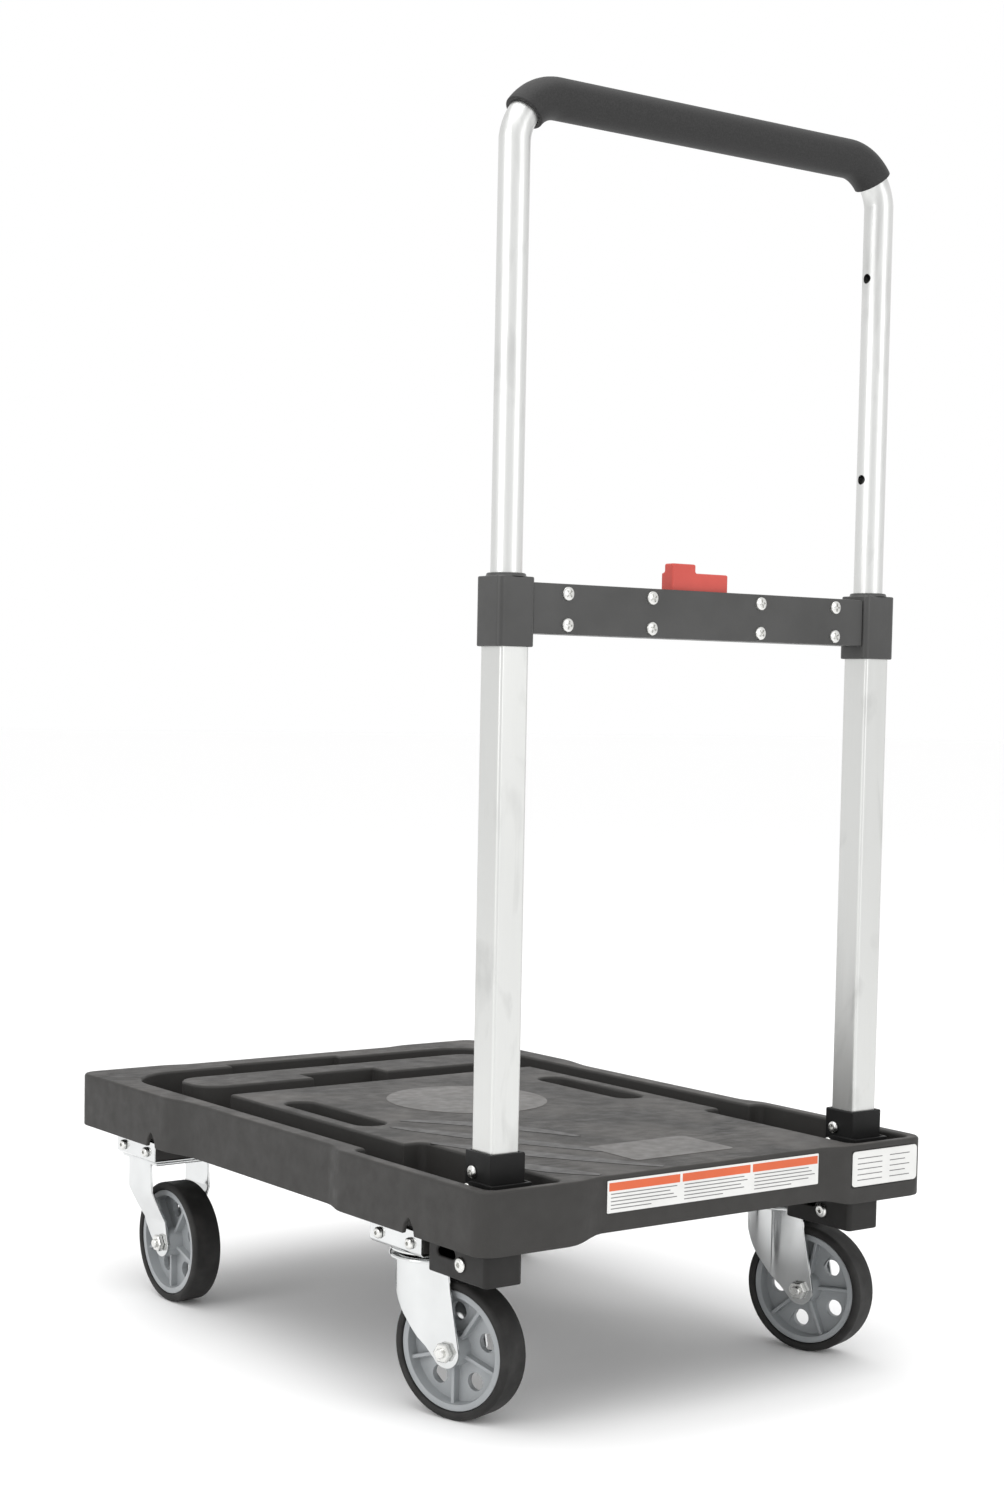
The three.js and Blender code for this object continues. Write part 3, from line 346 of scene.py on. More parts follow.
def rounded_box(x0, x1, y0, y1, radius, steps=6):
    return (arc(x1 - radius, y0 + radius, radius, -90, 0, steps)
            + arc(x1 - radius, y1 - radius, radius, 0, 90, steps)
            + arc(x0 + radius, y1 - radius, radius, 90, 180, steps)
            + arc(x0 + radius, y0 + radius, radius, 180, 270, steps))


def stripe_outline(start, middle, end, steps=16):
    """A crescent about a curve through three points, widest in the middle and sharp at its ends."""
    a, m, b = Vector(start), Vector(middle), Vector(end)
    control = 2 * m - (a + b) / 2
    left, right = [], []
    for i in range(steps + 1):
        t = i / steps
        point = a * (1 - t) ** 2 + control * (2 * t * (1 - t)) + b * t * t
        along = ((control - a) * (1 - t) + (b - control) * t).normalized()
        across = Vector((-along.y, along.x)) * STRIPE_HALF_WIDTH * math.sin(math.pi * (0.06 + 0.88 * t)) ** 0.7
        left.append(tuple(point + across))
        right.append(tuple(point - across))
    return left + right[::-1]


def smooth_pad_finish(name, light, dark):
    made = finish(name, light, 0.42, gloss=0.35)
    colour_by(made, remap(made, noise(made, 22.0, 5.0), 0.35, 0.7), dark, light)
    roughness_by(made, noise(made, 90.0, 3.0), 0.36, 0.5)
    raise_by(made, (noise(made, 900.0, 2.0), 0.00005))
    return made


pad_plastic = smooth_pad_finish("polished_pad", (0.104, 0.098, 0.092), (0.078, 0.074, 0.07))
stripe_plastic = smooth_pad_finish("stripe_pad", (0.042, 0.04, 0.038), (0.03, 0.029, 0.028))

boss = plate("centre_pad", arc(*BOSS_CENTRE, BOSS_RADIUS, 0, 360 * 95 / 96, 95),
             DECK_TOP - PAD_SINK, DECK_TOP + PAD_HEIGHT)
round_edges(boss, 0.0003, 1)
fit(boss, pad_plastic, "base", "deck_plastic")

tile = plate("tag_pad", rounded_box(-0.060, 0.060, -0.331, -0.256, 0.006),
             DECK_TOP - PAD_SINK, DECK_TOP + PAD_HEIGHT)
round_edges(tile, 0.0003, 1)
fit(tile, pad_plastic, "base", "deck_plastic")

for number, points in enumerate(STRIPES):
    stripe = plate(f"tread_stripe_{number}", stripe_outline(*points),
                   DECK_TOP - PAD_SINK, DECK_TOP + PAD_HEIGHT * 0.7)
    smooth(stripe)
    fit(stripe, stripe_plastic, "base", "deck_plastic")

# ---------------------------------------------------------------------------------------------
# Labels. Two printed films on the near wall: a long one with an orange band over three columns
# of plain rules, and a small one with rules only. Ink is a thin layer on the white film.

LABEL_FACE = 0.00005


def upright(piece, y):
    """Stands a plate made flat (x, z) up in a wall plane, its top face towards -Y."""
    only(piece)
    piece.matrix_world = Matrix.Translation((0, y, 0)) @ Matrix.Rotation(math.radians(90), 4, "X")
    bpy.ops.object.transform_apply(location=True, rotation=True, scale=True)


def paper_finish(name, colour, roughness):
    made = finish(name, colour, roughness)
    shade = tuple(channel * 0.93 for channel in colour)
    colour_by(made, remap(made, noise(made, 30.0, 3.0), 0.3, 0.7), shade, colour)
    raise_by(made, (noise(made, 300.0, 2.0), 0.00004))
    return made


film = paper_finish("white_film", (0.7, 0.7, 0.685), 0.35)
orange_ink = paper_finish("orange_ink", (0.62, 0.105, 0.028), 0.4)
grey_ink = paper_finish("grey_ink", (0.16, 0.16, 0.16), 0.45)


def printed(name, outline, layer_y, low, high, made):
    piece = plate(name, outline, low, high)
    upright(piece, layer_y)
    smooth(piece)
    fit(piece, made, "base", "label_film")
    return piece


front_low, front_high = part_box("front_label")
face = front_low.y
film_depth = front_high.y - front_low.y
long_film = printed("long_label", rounded_box(front_low.x, front_high.x, front_low.z, front_high.z, 0.001),
                    face, -film_depth, 0, film)
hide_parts("front_label")
BAND = (front_high.z - 0.0095, front_high.z - 0.0020)
COLUMN_WIDTH = (front_high.x - front_low.x) / 3
RULE_HEIGHT = 0.0009
for column in range(3):
    x0 = front_low.x + column * COLUMN_WIDTH
    printed(f"orange_band_{column}", rounded_box(x0 + 0.0018, x0 + COLUMN_WIDTH - 0.0012, *BAND, 0.0004, 2),
            face, 0, LABEL_FACE, orange_ink)
    for row in range(5):
        z = BAND[0] - 0.0031 - row * 0.0033
        shorter = 0.030 if row == 4 else 0.004 * ((row * 2 + column) % 3)
        printed(f"rule_{column}_{row}", rounded_box(x0 + 0.004, x0 + COLUMN_WIDTH - 0.0045 - shorter,
                                                    z, z + RULE_HEIGHT, 0.0002, 1),
                face, 0, LABEL_FACE, grey_ink)

corner_low, corner_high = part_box("corner_label")
corner_film = printed("corner_label_film",
                      rounded_box(corner_low.x, corner_high.x, corner_low.z, corner_high.z, 0.004),
                      corner_low.y, corner_low.y - corner_high.y, 0, film)
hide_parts("corner_label")
for row in range(5):
    z = corner_high.z - 0.0075 - row * 0.0052
    for side, (x0, x1) in enumerate(((corner_low.x + 0.007, corner_low.x + 0.040),
                                     (corner_low.x + 0.050, corner_high.x - 0.010 - 0.006 * (row % 2)))):
        printed(f"corner_rule_{row}_{side}", rounded_box(x0, x1, z, z + RULE_HEIGHT, 0.0002, 1),
                corner_low.y, 0, LABEL_FACE, grey_ink)

# ---------------------------------------------------------------------------------------------
# Hinge housings, bases and post brackets. The housings are black mouldings bolted up under the
# deck; the bases and brackets are folded steel, powder coated black.

SIDES = (("left", -1), ("right", 1))


def moulded_finish(name, dark, light, roughness, grain=1300.0, gloss=0.5):
    made = finish(name, dark, roughness, gloss=gloss)
    colour_by(made, remap(made, noise(made, 18.0, 4.0), 0.3, 0.75), dark, light)
    roughness_by(made, noise(made, 70.0, 3.0), roughness - 0.06, roughness + 0.08)
    raise_by(made, (noise(made, grain, 2.0), 0.0001), (noise(made, 60.0, 2.0), 0.00015))
    return made


housing_plastic = moulded_finish("housing_nylon", (0.013, 0.0125, 0.012), (0.02, 0.019, 0.018), 0.48, gloss=0.22)
black_coat = moulded_finish("black_powder_coat", (0.008, 0.008, 0.008), (0.012, 0.012, 0.012), 0.42, 2200.0, 0.16)

for side, sign in SIDES:
    housing = welded_copy(f"hinge_housing_{side}", f"housing_{side}")
    round_edges(housing, 0.0015)
    fit(housing, housing_plastic, "base", "housing_plastic", f"hinge_housing_{side}")
    base = welded_copy(f"hinge_base_{side}", f"hinge_shoe_{side}")
    round_edges(base, 0.0006)
    fit(base, black_coat, "base", "black_steel", f"hinge_base_{side}")
    bracket = welded_copy(f"post_bracket_{side}", f"bracket_{side}")
    round_edges(bracket, 0.0012)
    fit(bracket, black_coat, "handle_frame", "black_steel", f"post_bracket_{side}")

# ---------------------------------------------------------------------------------------------
# Fasteners. Zinc-plated domed bolts with a hexagon recess, hexagon nuts with a chamfer, and pan
# screws with a cross recess. Each through bolt is head, shank and nut in one piece.


def turned(name, rings, sides=40, ring_shaped=False):
    """A piece turned about the Z axis, with one ring of points for each (radius, height)."""
    bpy.ops.object.select_all(action="DESELECT")
    bpy.ops.mesh.primitive_circle_add(vertices=sides, radius=rings[0][0], location=(0, 0, rings[0][1]))
    piece = bpy.context.object
    piece.name = name
    bpy.ops.object.transform_apply(location=True, rotation=True, scale=True)
    bpy.ops.object.mode_set(mode="EDIT")
    bpy.ops.mesh.select_all(action="SELECT")
    for (radius, height), (next_radius, next_height) in zip(rings, rings[1:]):
        bpy.ops.mesh.extrude_region_move(TRANSFORM_OT_translate={"value": (0, 0, next_height - height)})
        ratio = next_radius / radius
        bpy.ops.transform.resize(value=(ratio, ratio, 1), center_override=(0, 0, 0))
    bpy.ops.mesh.select_all(action="DESELECT")
    bpy.ops.mesh.select_mode(type="EDGE")
    bpy.ops.mesh.select_non_manifold()
    if ring_shaped:
        bpy.ops.mesh.bridge_edge_loops()
    else:
        bpy.ops.mesh.select_all(action="SELECT")
        bpy.ops.mesh.fill_holes(sides=0)
    bpy.ops.mesh.select_all(action="SELECT")
    bpy.ops.mesh.normals_make_consistent(inside=False)
    bpy.ops.object.mode_set(mode="OBJECT")
    return piece


def moved(piece, matrix):
    """Puts a finished piece in its place, with the place in its mesh."""
    only(piece)
    piece.matrix_world = matrix
    bpy.ops.object.transform_apply(location=True, rotation=True, scale=True)
    return piece


def copy_of(piece, name):
    twin = bpy.data.objects.new(name, piece.data.copy())
    scene.collection.objects.link(twin)
    return twin


def combined(piece, other, operation):
    """Joins other to piece or cuts it away, and uses other up."""
    boolean = piece.modifiers.new("combine", "BOOLEAN")
    boolean.operation = operation
    boolean.solver = "EXACT"
    boolean.object = other
    apply_all(piece)
    bpy.data.objects.remove(other)
    return piece


def joined(name, pieces):
    bpy.ops.object.select_all(action="DESELECT")
    for piece in pieces:
        piece.select_set(True)
    bpy.context.view_layer.objects.active = pieces[0]
    bpy.ops.object.join()
    pieces[0].name = name
    return pieces[0]


def plated_finish(name, colour, roughness, cloud=24.0):
    """Zinc plate: bright, slightly cloudy, with the fine marks of the tumbling barrel."""
    made = finish(name, colour, roughness, 1.0)
    shade = tuple(channel * 0.9 for channel in colour)
    colour_by(made, remap(made, noise(made, cloud, 4.0), 0.3, 0.7), shade, colour)
    roughness_by(made, noise(made, cloud * 3, 5.0), roughness - 0.03, roughness + 0.05)
    raise_by(made, (noise(made, 700.0, 3.0), 0.00001), (noise(made, 30.0, 2.0), 0.00006))
    return made


bright_steel = plated_finish("bright_zinc", (0.72, 0.72, 0.7), 0.26, 60.0)


def domed_head(name, radius, height):
    head = turned(name, ((radius, 0), (radius, height * 0.3), (radius * 0.93, height * 0.62),
                         (radius * 0.76, height * 0.88), (radius * 0.55, height)), 32)
    recess = turned("recess", ((radius * 0.4, height * 0.35), (radius * 0.4, height * 1.5)), 6)
    return combined(head, recess, "DIFFERENCE")


def hexagon_nut(name, radius, height):
    nut = turned(name, ((radius * 0.88, 0), (radius, height * 0.14), (radius, height * 0.84),
                        (radius * 0.88, height)), 6)
    return nut


def through_bolt(name, x0, x1, y, z, shank, head, height, nut):
    """A bolt along X with its domed head beyond x0 and its nut beyond x1."""
    towards_low = Matrix.Translation((x0, y, z)) @ Matrix.Rotation(math.radians(-90), 4, "Y")
    towards_high = Matrix.Translation((x1, y, z)) @ Matrix.Rotation(math.radians(90), 4, "Y")
    parts = [
        moved(domed_head(name, head, height), towards_low),
        moved(turned("shank", ((shank, -(x1 - x0)), (shank, 0)), 20), towards_low),
        moved(hexagon_nut("nut", nut, height), towards_high),
        moved(turned("tip", ((shank, 0), (shank, height + 0.0012), (shank * 0.75, height + 0.0022)), 20),
              towards_high),
    ]
    bolt = joined(name, parts)
    smooth(bolt, 32)
    return bolt


def bolt_for(node, body, shank, head, height, nut, tail=0.0):
    """The through bolt that stands for a CAD bolt node, between that node's own ends."""
    low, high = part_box(node)
    y, z = (low.y + high.y) / 2, (low.z + high.z) / 2
    bolt = through_bolt(f"{node}_piece", low.x + height, high.x - height - tail, y, z,
                        shank, head, height, nut)
    fit(bolt, bright_steel, body, "bright_steel", node)


for side, sign in SIDES:
    bolt_for(f"bracket_bolt_{side}", "handle_frame", 0.0028, 0.0058, 0.0031, 0.0050)
    bolt_for(f"housing_bolt_{side}", "base", 0.0038, 0.0068, 0.0029, 0.0066)
    shoe_low, shoe_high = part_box(f"hinge_base_{side}")
    rivet = turned(f"shoe_rivet_{side}", ((0.0040, 0), (0.0040, 0.0006), (0.0033, 0.0016),
                                          (0.0018, 0.0021)), 24)
    moved(rivet, Matrix.Translation((shoe_low.x, -0.3155, 0.2215)) @ Matrix.Rotation(math.radians(-90), 4, "Y"))
    smooth(rivet)
    fit(rivet, bright_steel, "base", "bright_steel")
for kind in ("swivel", "rigid"):
    for side, _ in SIDES:
        for end in ("near", "far"):
            bolt_for(f"{kind}_{side}_tray_bolt_{end}", "base", 0.0028, 0.0054, 0.0038, 0.0055)
for node in ("pivot_bolt_left", "pivot_bolt_right", "lock_pin_left", "lock_pin_right", "button_spring"):
    nodes[node].data.materials.clear()
    nodes[node].data.materials.append(bright_steel)

# ---------------------------------------------------------------------------------------------
# Square posts. Extruded aluminium with small corner rounds and a satin anodised skin, drawn
# lines along their length and a few scuffs.

POST_ROUND = 0.0032
POST_WALL = 0.0012


def aluminium_finish(name, colour, roughness):
    made = finish(name, colour, roughness, 1.0)
    scuffed = remap(made, noise(made, 26.0, 6.0, (1, 1, 0.35), 0.8), 0.56, 0.72)
    shade = tuple(channel * 0.82 for channel in colour)
    colour_by(made, scuffed, colour, shade)
    lines = noise(made, 900.0, 2.0, (1, 1, 0.012))
    roughness_by(made, lines, roughness - 0.05, roughness + 0.07)
    raise_by(made, (lines, 0.00003))
    return made


satin_aluminium = aluminium_finish("satin_anodised", (0.63, 0.635, 0.622), 0.36)


def faces_pointing(piece, axis, sign):
    """In edit mode, selects just the faces that point along an axis."""
    bpy.ops.mesh.select_mode(type="FACE")
    bpy.ops.mesh.select_all(action="DESELECT")
    mesh = bmesh.from_edit_mesh(piece.data)
    for face in mesh.faces:
        face.select = face.normal[axis] * sign > 0.99
    bmesh.update_edit_mesh(piece.data)


def box_between(name, low, high):
    centre = (Vector(low) + Vector(high)) / 2
    bpy.ops.object.select_all(action="DESELECT")
    bpy.ops.mesh.primitive_cube_add(size=1, location=centre, scale=Vector(high) - Vector(low))
    piece = bpy.context.object
    piece.name = name
    bpy.ops.object.transform_apply(location=True, rotation=True, scale=True)
    return piece


def round_uprights(piece, width, segments):
    """Rounds a box's four vertical edges."""
    only(piece)
    bpy.ops.object.mode_set(mode="EDIT")
    bpy.ops.mesh.select_mode(type="EDGE")
    bpy.ops.mesh.select_all(action="DESELECT")
    mesh = bmesh.from_edit_mesh(piece.data)
    for edge in mesh.edges:
        rise = edge.verts[0].co - edge.verts[1].co
        edge.select = abs(rise.z) > 0.9 * rise.length
    bmesh.update_edit_mesh(piece.data)
    bpy.ops.mesh.bevel(offset=width, segments=segments, affect="EDGES")
    bpy.ops.object.mode_set(mode="OBJECT")


for side, sign in SIDES:
    post = box_between(f"post_tube_{side}", *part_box(f"post_{side}"))
    round_uprights(post, POST_ROUND, 6)
    only(post)
    bpy.ops.object.mode_set(mode="EDIT")
    for sense in (-1, 1):
        faces_pointing(post, 2, sense)
        bpy.ops.mesh.delete(type="FACE")
    bpy.ops.object.mode_set(mode="OBJECT")
    wall = post.modifiers.new("wall", "SOLIDIFY")
    wall.thickness = POST_WALL
    wall.offset = -1
    apply_all(post)
    smooth(post)
    fit(post, satin_aluminium, "handle_frame", "satin_aluminium", f"post_{side}")

# ---------------------------------------------------------------------------------------------
# Handle tube. One aluminium tube bent into a U, sliding in the posts, with lock holes drilled in
# its inner faces. The guide bushes close its feet inside the posts.

TUBE_RADIUS = 0.0138
TUBE_WALL = 0.0015
TUBE_BEND = 0.045
LEG_X = 0.218
LEG_Y = -0.3266
GRIP_Z = 1.162
TUBE_FOOT = 0.576
HOLE_RADIUS = 0.0046
HOLE_HEIGHTS = (0.733, 0.8633, 1.0536)
BEND_Z = GRIP_Z - TUBE_BEND


def bent_tube(name, radius, start, leg, sides=48):
    """A round skin over both bends, from an angle before the first one's end, with straight legs."""
    bend_x = LEG_X - TUBE_BEND
    away = math.radians(180 - start)
    place = (-bend_x + TUBE_BEND * math.cos(away), LEG_Y, BEND_Z + TUBE_BEND * math.sin(away))
    bpy.ops.object.select_all(action="DESELECT")
    bpy.ops.mesh.primitive_circle_add(vertices=sides, radius=radius, location=place,
                                      rotation=(0, math.radians(start), 0))
    piece = bpy.context.object
    piece.name = name
    bpy.ops.object.transform_apply(location=True, rotation=True, scale=True)
    bpy.ops.object.mode_set(mode="EDIT")
    bpy.ops.mesh.select_all(action="SELECT")
    turn = math.radians(90 - start)
    bpy.ops.mesh.spin(steps=14, angle=-turn, center=(-bend_x, LEG_Y, BEND_Z), axis=(0, 1, 0))
    for _ in range(8):
        bpy.ops.mesh.extrude_region_move(TRANSFORM_OT_translate={"value": (bend_x / 4, 0, 0)})
    bpy.ops.mesh.spin(steps=14, angle=-turn, center=(bend_x, LEG_Y, BEND_Z), axis=(0, 1, 0))
    if leg:
        for first_x in (LEG_X, -LEG_X):
            bpy.ops.mesh.select_all(action="DESELECT")
            bpy.ops.object.mode_set(mode="OBJECT")
            for vertex in piece.data.vertices:
                near = abs(vertex.co.x - first_x) < radius * 1.01
                vertex.select = near and abs(vertex.co.z - BEND_Z) < 0.00001
            bpy.ops.object.mode_set(mode="EDIT")
            bpy.ops.mesh.extrude_region_move(TRANSFORM_OT_translate={"value": (0, 0, -leg)})
    bpy.ops.mesh.select_all(action="SELECT")
    bpy.ops.mesh.remove_doubles(threshold=0.00001)
    bpy.ops.mesh.normals_make_consistent(inside=False)
    bpy.ops.object.mode_set(mode="OBJECT")
    return piece


def thicken(piece, depth):
    wall = piece.modifiers.new("wall", "SOLIDIFY")
    wall.thickness = depth
    wall.offset = -1
    wall.use_even_offset = True
    apply_all(piece)


tube = bent_tube("bent_handle_tube", TUBE_RADIUS, 0, BEND_Z - TUBE_FOOT)
thicken(tube, TUBE_WALL)
for _, sign in SIDES:
    for height in HOLE_HEIGHTS:
        drill = turned("drill", ((HOLE_RADIUS, 0), (HOLE_RADIUS, 0.02)), 24)
        moved(drill, Matrix.Translation((sign * (LEG_X - 0.022), LEG_Y, height))
              @ Matrix.Rotation(math.radians(sign * 90), 4, "Y"))
        combined(tube, drill, "DIFFERENCE")
smooth(tube, 30)
tube_aluminium = aluminium_finish("drawn_tube", (0.66, 0.665, 0.655), 0.38)
fit(tube, tube_aluminium, "upper_handle", "satin_aluminium", "handle_tube")

# ---------------------------------------------------------------------------------------------
# Foam grip. A sleeve of closed-cell black foam pushed over the top of the tube and both bends,
# cut square at its ends, with a fine open-pored skin that is slightly uneven by hand.

GRIP_RADIUS = 0.018
GRIP_START = 38


def foam_finish():
    made = finish("closed_cell_foam", (0.03, 0.03, 0.03), 0.55, gloss=0.35)
    colour_by(made, remap(made, noise(made, 800.0, 3.0), 0.35, 0.7), (0.012, 0.012, 0.012), (0.024, 0.0235, 0.0235))
    raise_by(made, (noise(made, 1100.0, 3.0), 0.00012), (noise(made, 120.0, 3.0), 0.0001))
    return made


grip = bent_tube("grip_sleeve", GRIP_RADIUS, GRIP_START, 0)
thicken(grip, GRIP_RADIUS - TUBE_RADIUS - 0.0001)
round_edges(grip, 0.0009, 3, 50)
fit(grip, foam_finish(), "upper_handle", "grip_foam", "foam_grip")

# ---------------------------------------------------------------------------------------------
# Collars. Glass-filled nylon caps on the posts; each takes an end of the crossbar and guides the
# round tube through a raised ring. The same nylon makes the guide bushes.

COLLAR_ROUND = 0.0055
RING_HEIGHT = 0.003
nylon = moulded_finish("glass_filled_nylon", (0.034, 0.034, 0.033), (0.05, 0.05, 0.049), 0.4)

for side, sign in SIDES:
    low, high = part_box(f"collar_{side}")
    body_top = high.z - RING_HEIGHT
    collar = box_between(f"collar_cap_{side}", low, (high.x, high.y, body_top))
    round_uprights(collar, COLLAR_ROUND, 8)
    axis = Matrix.Translation((sign * LEG_X, LEG_Y, 0))
    ring = turned("ring", ((TUBE_RADIUS + 0.004, body_top - 0.002), (TUBE_RADIUS + 0.0032, high.z)), 64)
    combined(collar, moved(ring, axis), "UNION")
    bore = turned("bore", ((TUBE_RADIUS + 0.0006, low.z - 0.01), (TUBE_RADIUS + 0.0006, high.z + 0.01)), 64)
    combined(collar, moved(bore, axis), "DIFFERENCE")
    post_low, post_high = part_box(f"post_{side}")
    socket = box_between("socket", (post_low.x - 0.0002, post_low.y - 0.0002, low.z - 0.01),
                         (post_high.x + 0.0002, post_high.y + 0.0002, post_high.z + 0.0002))
    combined(collar, socket, "DIFFERENCE")
    round_edges(collar, 0.0012, 3)
    fit(collar, nylon, "handle_frame", "collar_plastic", f"collar_{side}")
    nodes[f"guide_bush_{side}"].data.materials.clear()
    nodes[f"guide_bush_{side}"].data.materials.append(nylon)

# ---------------------------------------------------------------------------------------------
# Crossbar. Two nylon halves screwed together round the lock pins, with a seam along the top and
# four pairs of pan screws through the near face.

SCREW_X = (-0.1608, -0.065, 0.066, 0.1615)
SCREW_Z = (0.7393, 0.7121)
SCREW_RADIUS = 0.0062

for half in ("rear", "front"):
    bar = welded_copy(f"crossbar_{half}_half", f"crossbar_shell_{half}")
    round_edges(bar, 0.0011, 3)
    fit(bar, nylon, "handle_frame", "collar_plastic", f"crossbar_{half}_half")

bar_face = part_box("crossbar_rear_half")[0].y
pan_screw = turned("pan_screw", ((SCREW_RADIUS, -0.0004), (SCREW_RADIUS, 0.0009), (SCREW_RADIUS * 0.93, 0.0017),
                                 (SCREW_RADIUS * 0.75, 0.0023), (SCREW_RADIUS * 0.4, 0.0026)), 32)
for turn in (45, 135):
    blade = box_between("blade", (-SCREW_RADIUS * 0.62, -0.0009, 0.0011), (SCREW_RADIUS * 0.62, 0.0009, 0.004))
    moved(blade, Matrix.Rotation(math.radians(turn), 4, "Z"))
    combined(pan_screw, blade, "DIFFERENCE")
smooth(pan_screw, 32)
for row, z in enumerate(SCREW_Z):
    for column, x in enumerate(SCREW_X):
        screw = copy_of(pan_screw, f"bar_screw_{row}_{column}")
        spin = Matrix.Rotation(math.radians(37 * (row + 2 * column)), 4, "Z")
        moved(screw, Matrix.Translation((x, bar_face, z)) @ Matrix.Rotation(math.radians(90), 4, "X") @ spin)
        fit(screw, bright_steel, "handle_frame", "bright_steel")
bpy.data.objects.remove(pan_screw)

# ---------------------------------------------------------------------------------------------
# Release button. A red moulded cap with a raised lug at its left end; pressing it draws both
# lock pins out of the tube.

button = welded_copy("release_button", "red_button")
round_edges(button, 0.0018, 3)
red_plastic = moulded_finish("red_nylon", (0.46, 0.05, 0.036), (0.54, 0.068, 0.05), 0.4)
fit(button, red_plastic, "release_button", "button_plastic", "release_button")

# ---------------------------------------------------------------------------------------------
# Caster trays, races and forks. Pressed steel, zinc plated: a channel bolted across the deck, a
# ball race under it on the swivel casters, and a fork with its legs pressed to shape.

zinc = plated_finish("clear_zinc", (0.66, 0.67, 0.67), 0.13)
CASTER_X = 0.217
SWIVEL_Y = -0.232
TRAIL = 0.034
SWIVEL_TURN = math.radians(17)
RIGID_MOUNT_Y = 0.262
RIGID_AXLE_Y = 0.238
WHEEL_RADIUS = 0.0635
FORK_TOP = 0.1466
FORK_PLATE = 0.0036
SHEET = 0.003
LEG_HALF = 0.0225
FOOT_RADIUS = 0.015
AXLE_HOLE = 0.0063
RACE_RADIUS = 0.038


def side_plate(name, outline, x0, x1):
    """A plate whose outline is in the YZ plane, between two stations along X."""
    piece = plate(name, outline, x0, x1)
    return moved(piece, Matrix(((0, 0, 1, 0), (1, 0, 0, 0), (0, 1, 0, 0), (0, 0, 0, 1))))


def end_plate(name, outline, y0, y1):
    """A plate whose outline is in the XZ plane, between two stations along Y."""
    piece = plate(name, outline, -y1, -y0)
    return moved(piece, Matrix(((1, 0, 0, 0), (0, 0, -1, 0), (0, 1, 0, 0), (0, 0, 0, 1))))


def curve(start, control, end, steps=12):
    """Points of a quadratic curve after its start."""
    return [tuple(Vector(start) * (1 - t) ** 2 + Vector(control) * (2 * t * (1 - t)) + Vector(end) * t * t)
            for t in (i / steps for i in range(1, steps + 1))]


def cross_drill(radius, y, z):
    drill = turned("drill", ((radius, -0.06), (radius, 0.06)), 40)
    return moved(drill, Matrix.Translation((0, y, z)) @ Matrix.Rotation(math.radians(90), 4, "Y"))


def fork_plan(inset):
    """Outline of the fork from above: legs open to the trailing side, joined by a round nose."""
    half = LEG_HALF + 0.0025 - inset
    nose = 0.042 - inset
    leg = LEG_HALF - inset
    points = [(half * math.cos(math.pi * i / 36), -0.004 + nose * math.sin(math.pi * i / 36)) for i in range(37)]
    return points + [(-leg, -0.012), (-leg, -0.06), (leg, -0.06), (leg, -0.012)]


def make_swivel_fork():
    axle_y = -TRAIL
    outline = arc(axle_y, WHEEL_RADIUS, FOOT_RADIUS, 180, 324, 24)
    outline += [(0.016, 0.092)]
    outline += curve((0.016, 0.092), (0.034, 0.112), (0.038, 0.134))
    outline += [(0.038, FORK_TOP - 0.002), (-0.033, FORK_TOP - 0.002), (-0.036, 0.132)]
    fork = plate("swivel_fork", fork_plan(0), 0.04, FORK_TOP - 0.002)
    combined(fork, plate("inside", fork_plan(SHEET), 0.03, FORK_TOP - FORK_PLATE), "DIFFERENCE")
    combined(fork, side_plate("side", outline, -0.05, 0.05), "INTERSECT")
    crown = turned("crown", ((RACE_RADIUS + 0.001, FORK_TOP - FORK_PLATE), (RACE_RADIUS + 0.001, FORK_TOP - 0.0012),
                             (RACE_RADIUS - 0.0006, FORK_TOP)), 72)
    combined(fork, crown, "UNION")
    combined(fork, cross_drill(AXLE_HOLE, axle_y, WHEEL_RADIUS), "DIFFERENCE")
    kingpin_hole = turned("hole", ((AXLE_HOLE, 0.13), (AXLE_HOLE, 0.16)), 32)
    combined(fork, kingpin_hole, "DIFFERENCE")
    round_edges(fork, 0.0008, 2, 40)
    return fork


def make_rigid_fork():
    mount_y = RIGID_MOUNT_Y - RIGID_AXLE_Y
    half, plate_low, plate_high = 0.036, 0.149, 0.1522
    outline = arc(0, WHEEL_RADIUS, FOOT_RADIUS, 180, 347, 28)
    outline += curve(outline[-1], (0.044, 0.084), (mount_y + 0.024, 0.120))
    outline += [(mount_y + 0.024, plate_high), (mount_y - 0.024, plate_high)]
    outline += curve(outline[-1], (mount_y - 0.025, 0.108), (-FOOT_RADIUS, WHEEL_RADIUS))[:-1]
    fork = box_between("rigid_fork", (-half, mount_y - 0.038, plate_low), (half, mount_y + 0.038, plate_high))
    for sign in (-1, 1):
        front = [(sign * half, plate_high), (sign * half, 0.118), (sign * LEG_HALF, 0.086),
                 (sign * LEG_HALF, 0.04), (sign * (LEG_HALF - SHEET), 0.04),
                 (sign * (LEG_HALF - SHEET), 0.087), (sign * (half - SHEET), 0.119),
                 (sign * (half - SHEET), plate_high)]
        leg = end_plate("leg", front, -0.06, 0.09)
        combined(leg, side_plate("side", outline, -0.06, 0.06), "INTERSECT")
        combined(fork, leg, "UNION")
    combined(fork, cross_drill(AXLE_HOLE, 0, WHEEL_RADIUS), "DIFFERENCE")
    round_edges(fork, 0.0008, 2, 25)
    return fork


def make_race():
    """Upper race with a rolled lip, the ball seat below it and the riveted kingpin."""
    top = 0.1522
    return turned("race", (
        (0.011, top - 0.0142), (0.011, top - 0.0103), (0.006, top - 0.0099), (0.006, top - 0.0052),
        (0.029, top - 0.0052), (0.031, top - 0.0044), (0.031, top - 0.0032), (RACE_RADIUS - 0.0008, top - 0.0030),
        (RACE_RADIUS, top - 0.0022), (RACE_RADIUS, top - 0.0008), (RACE_RADIUS - 0.0008, top)), 72)


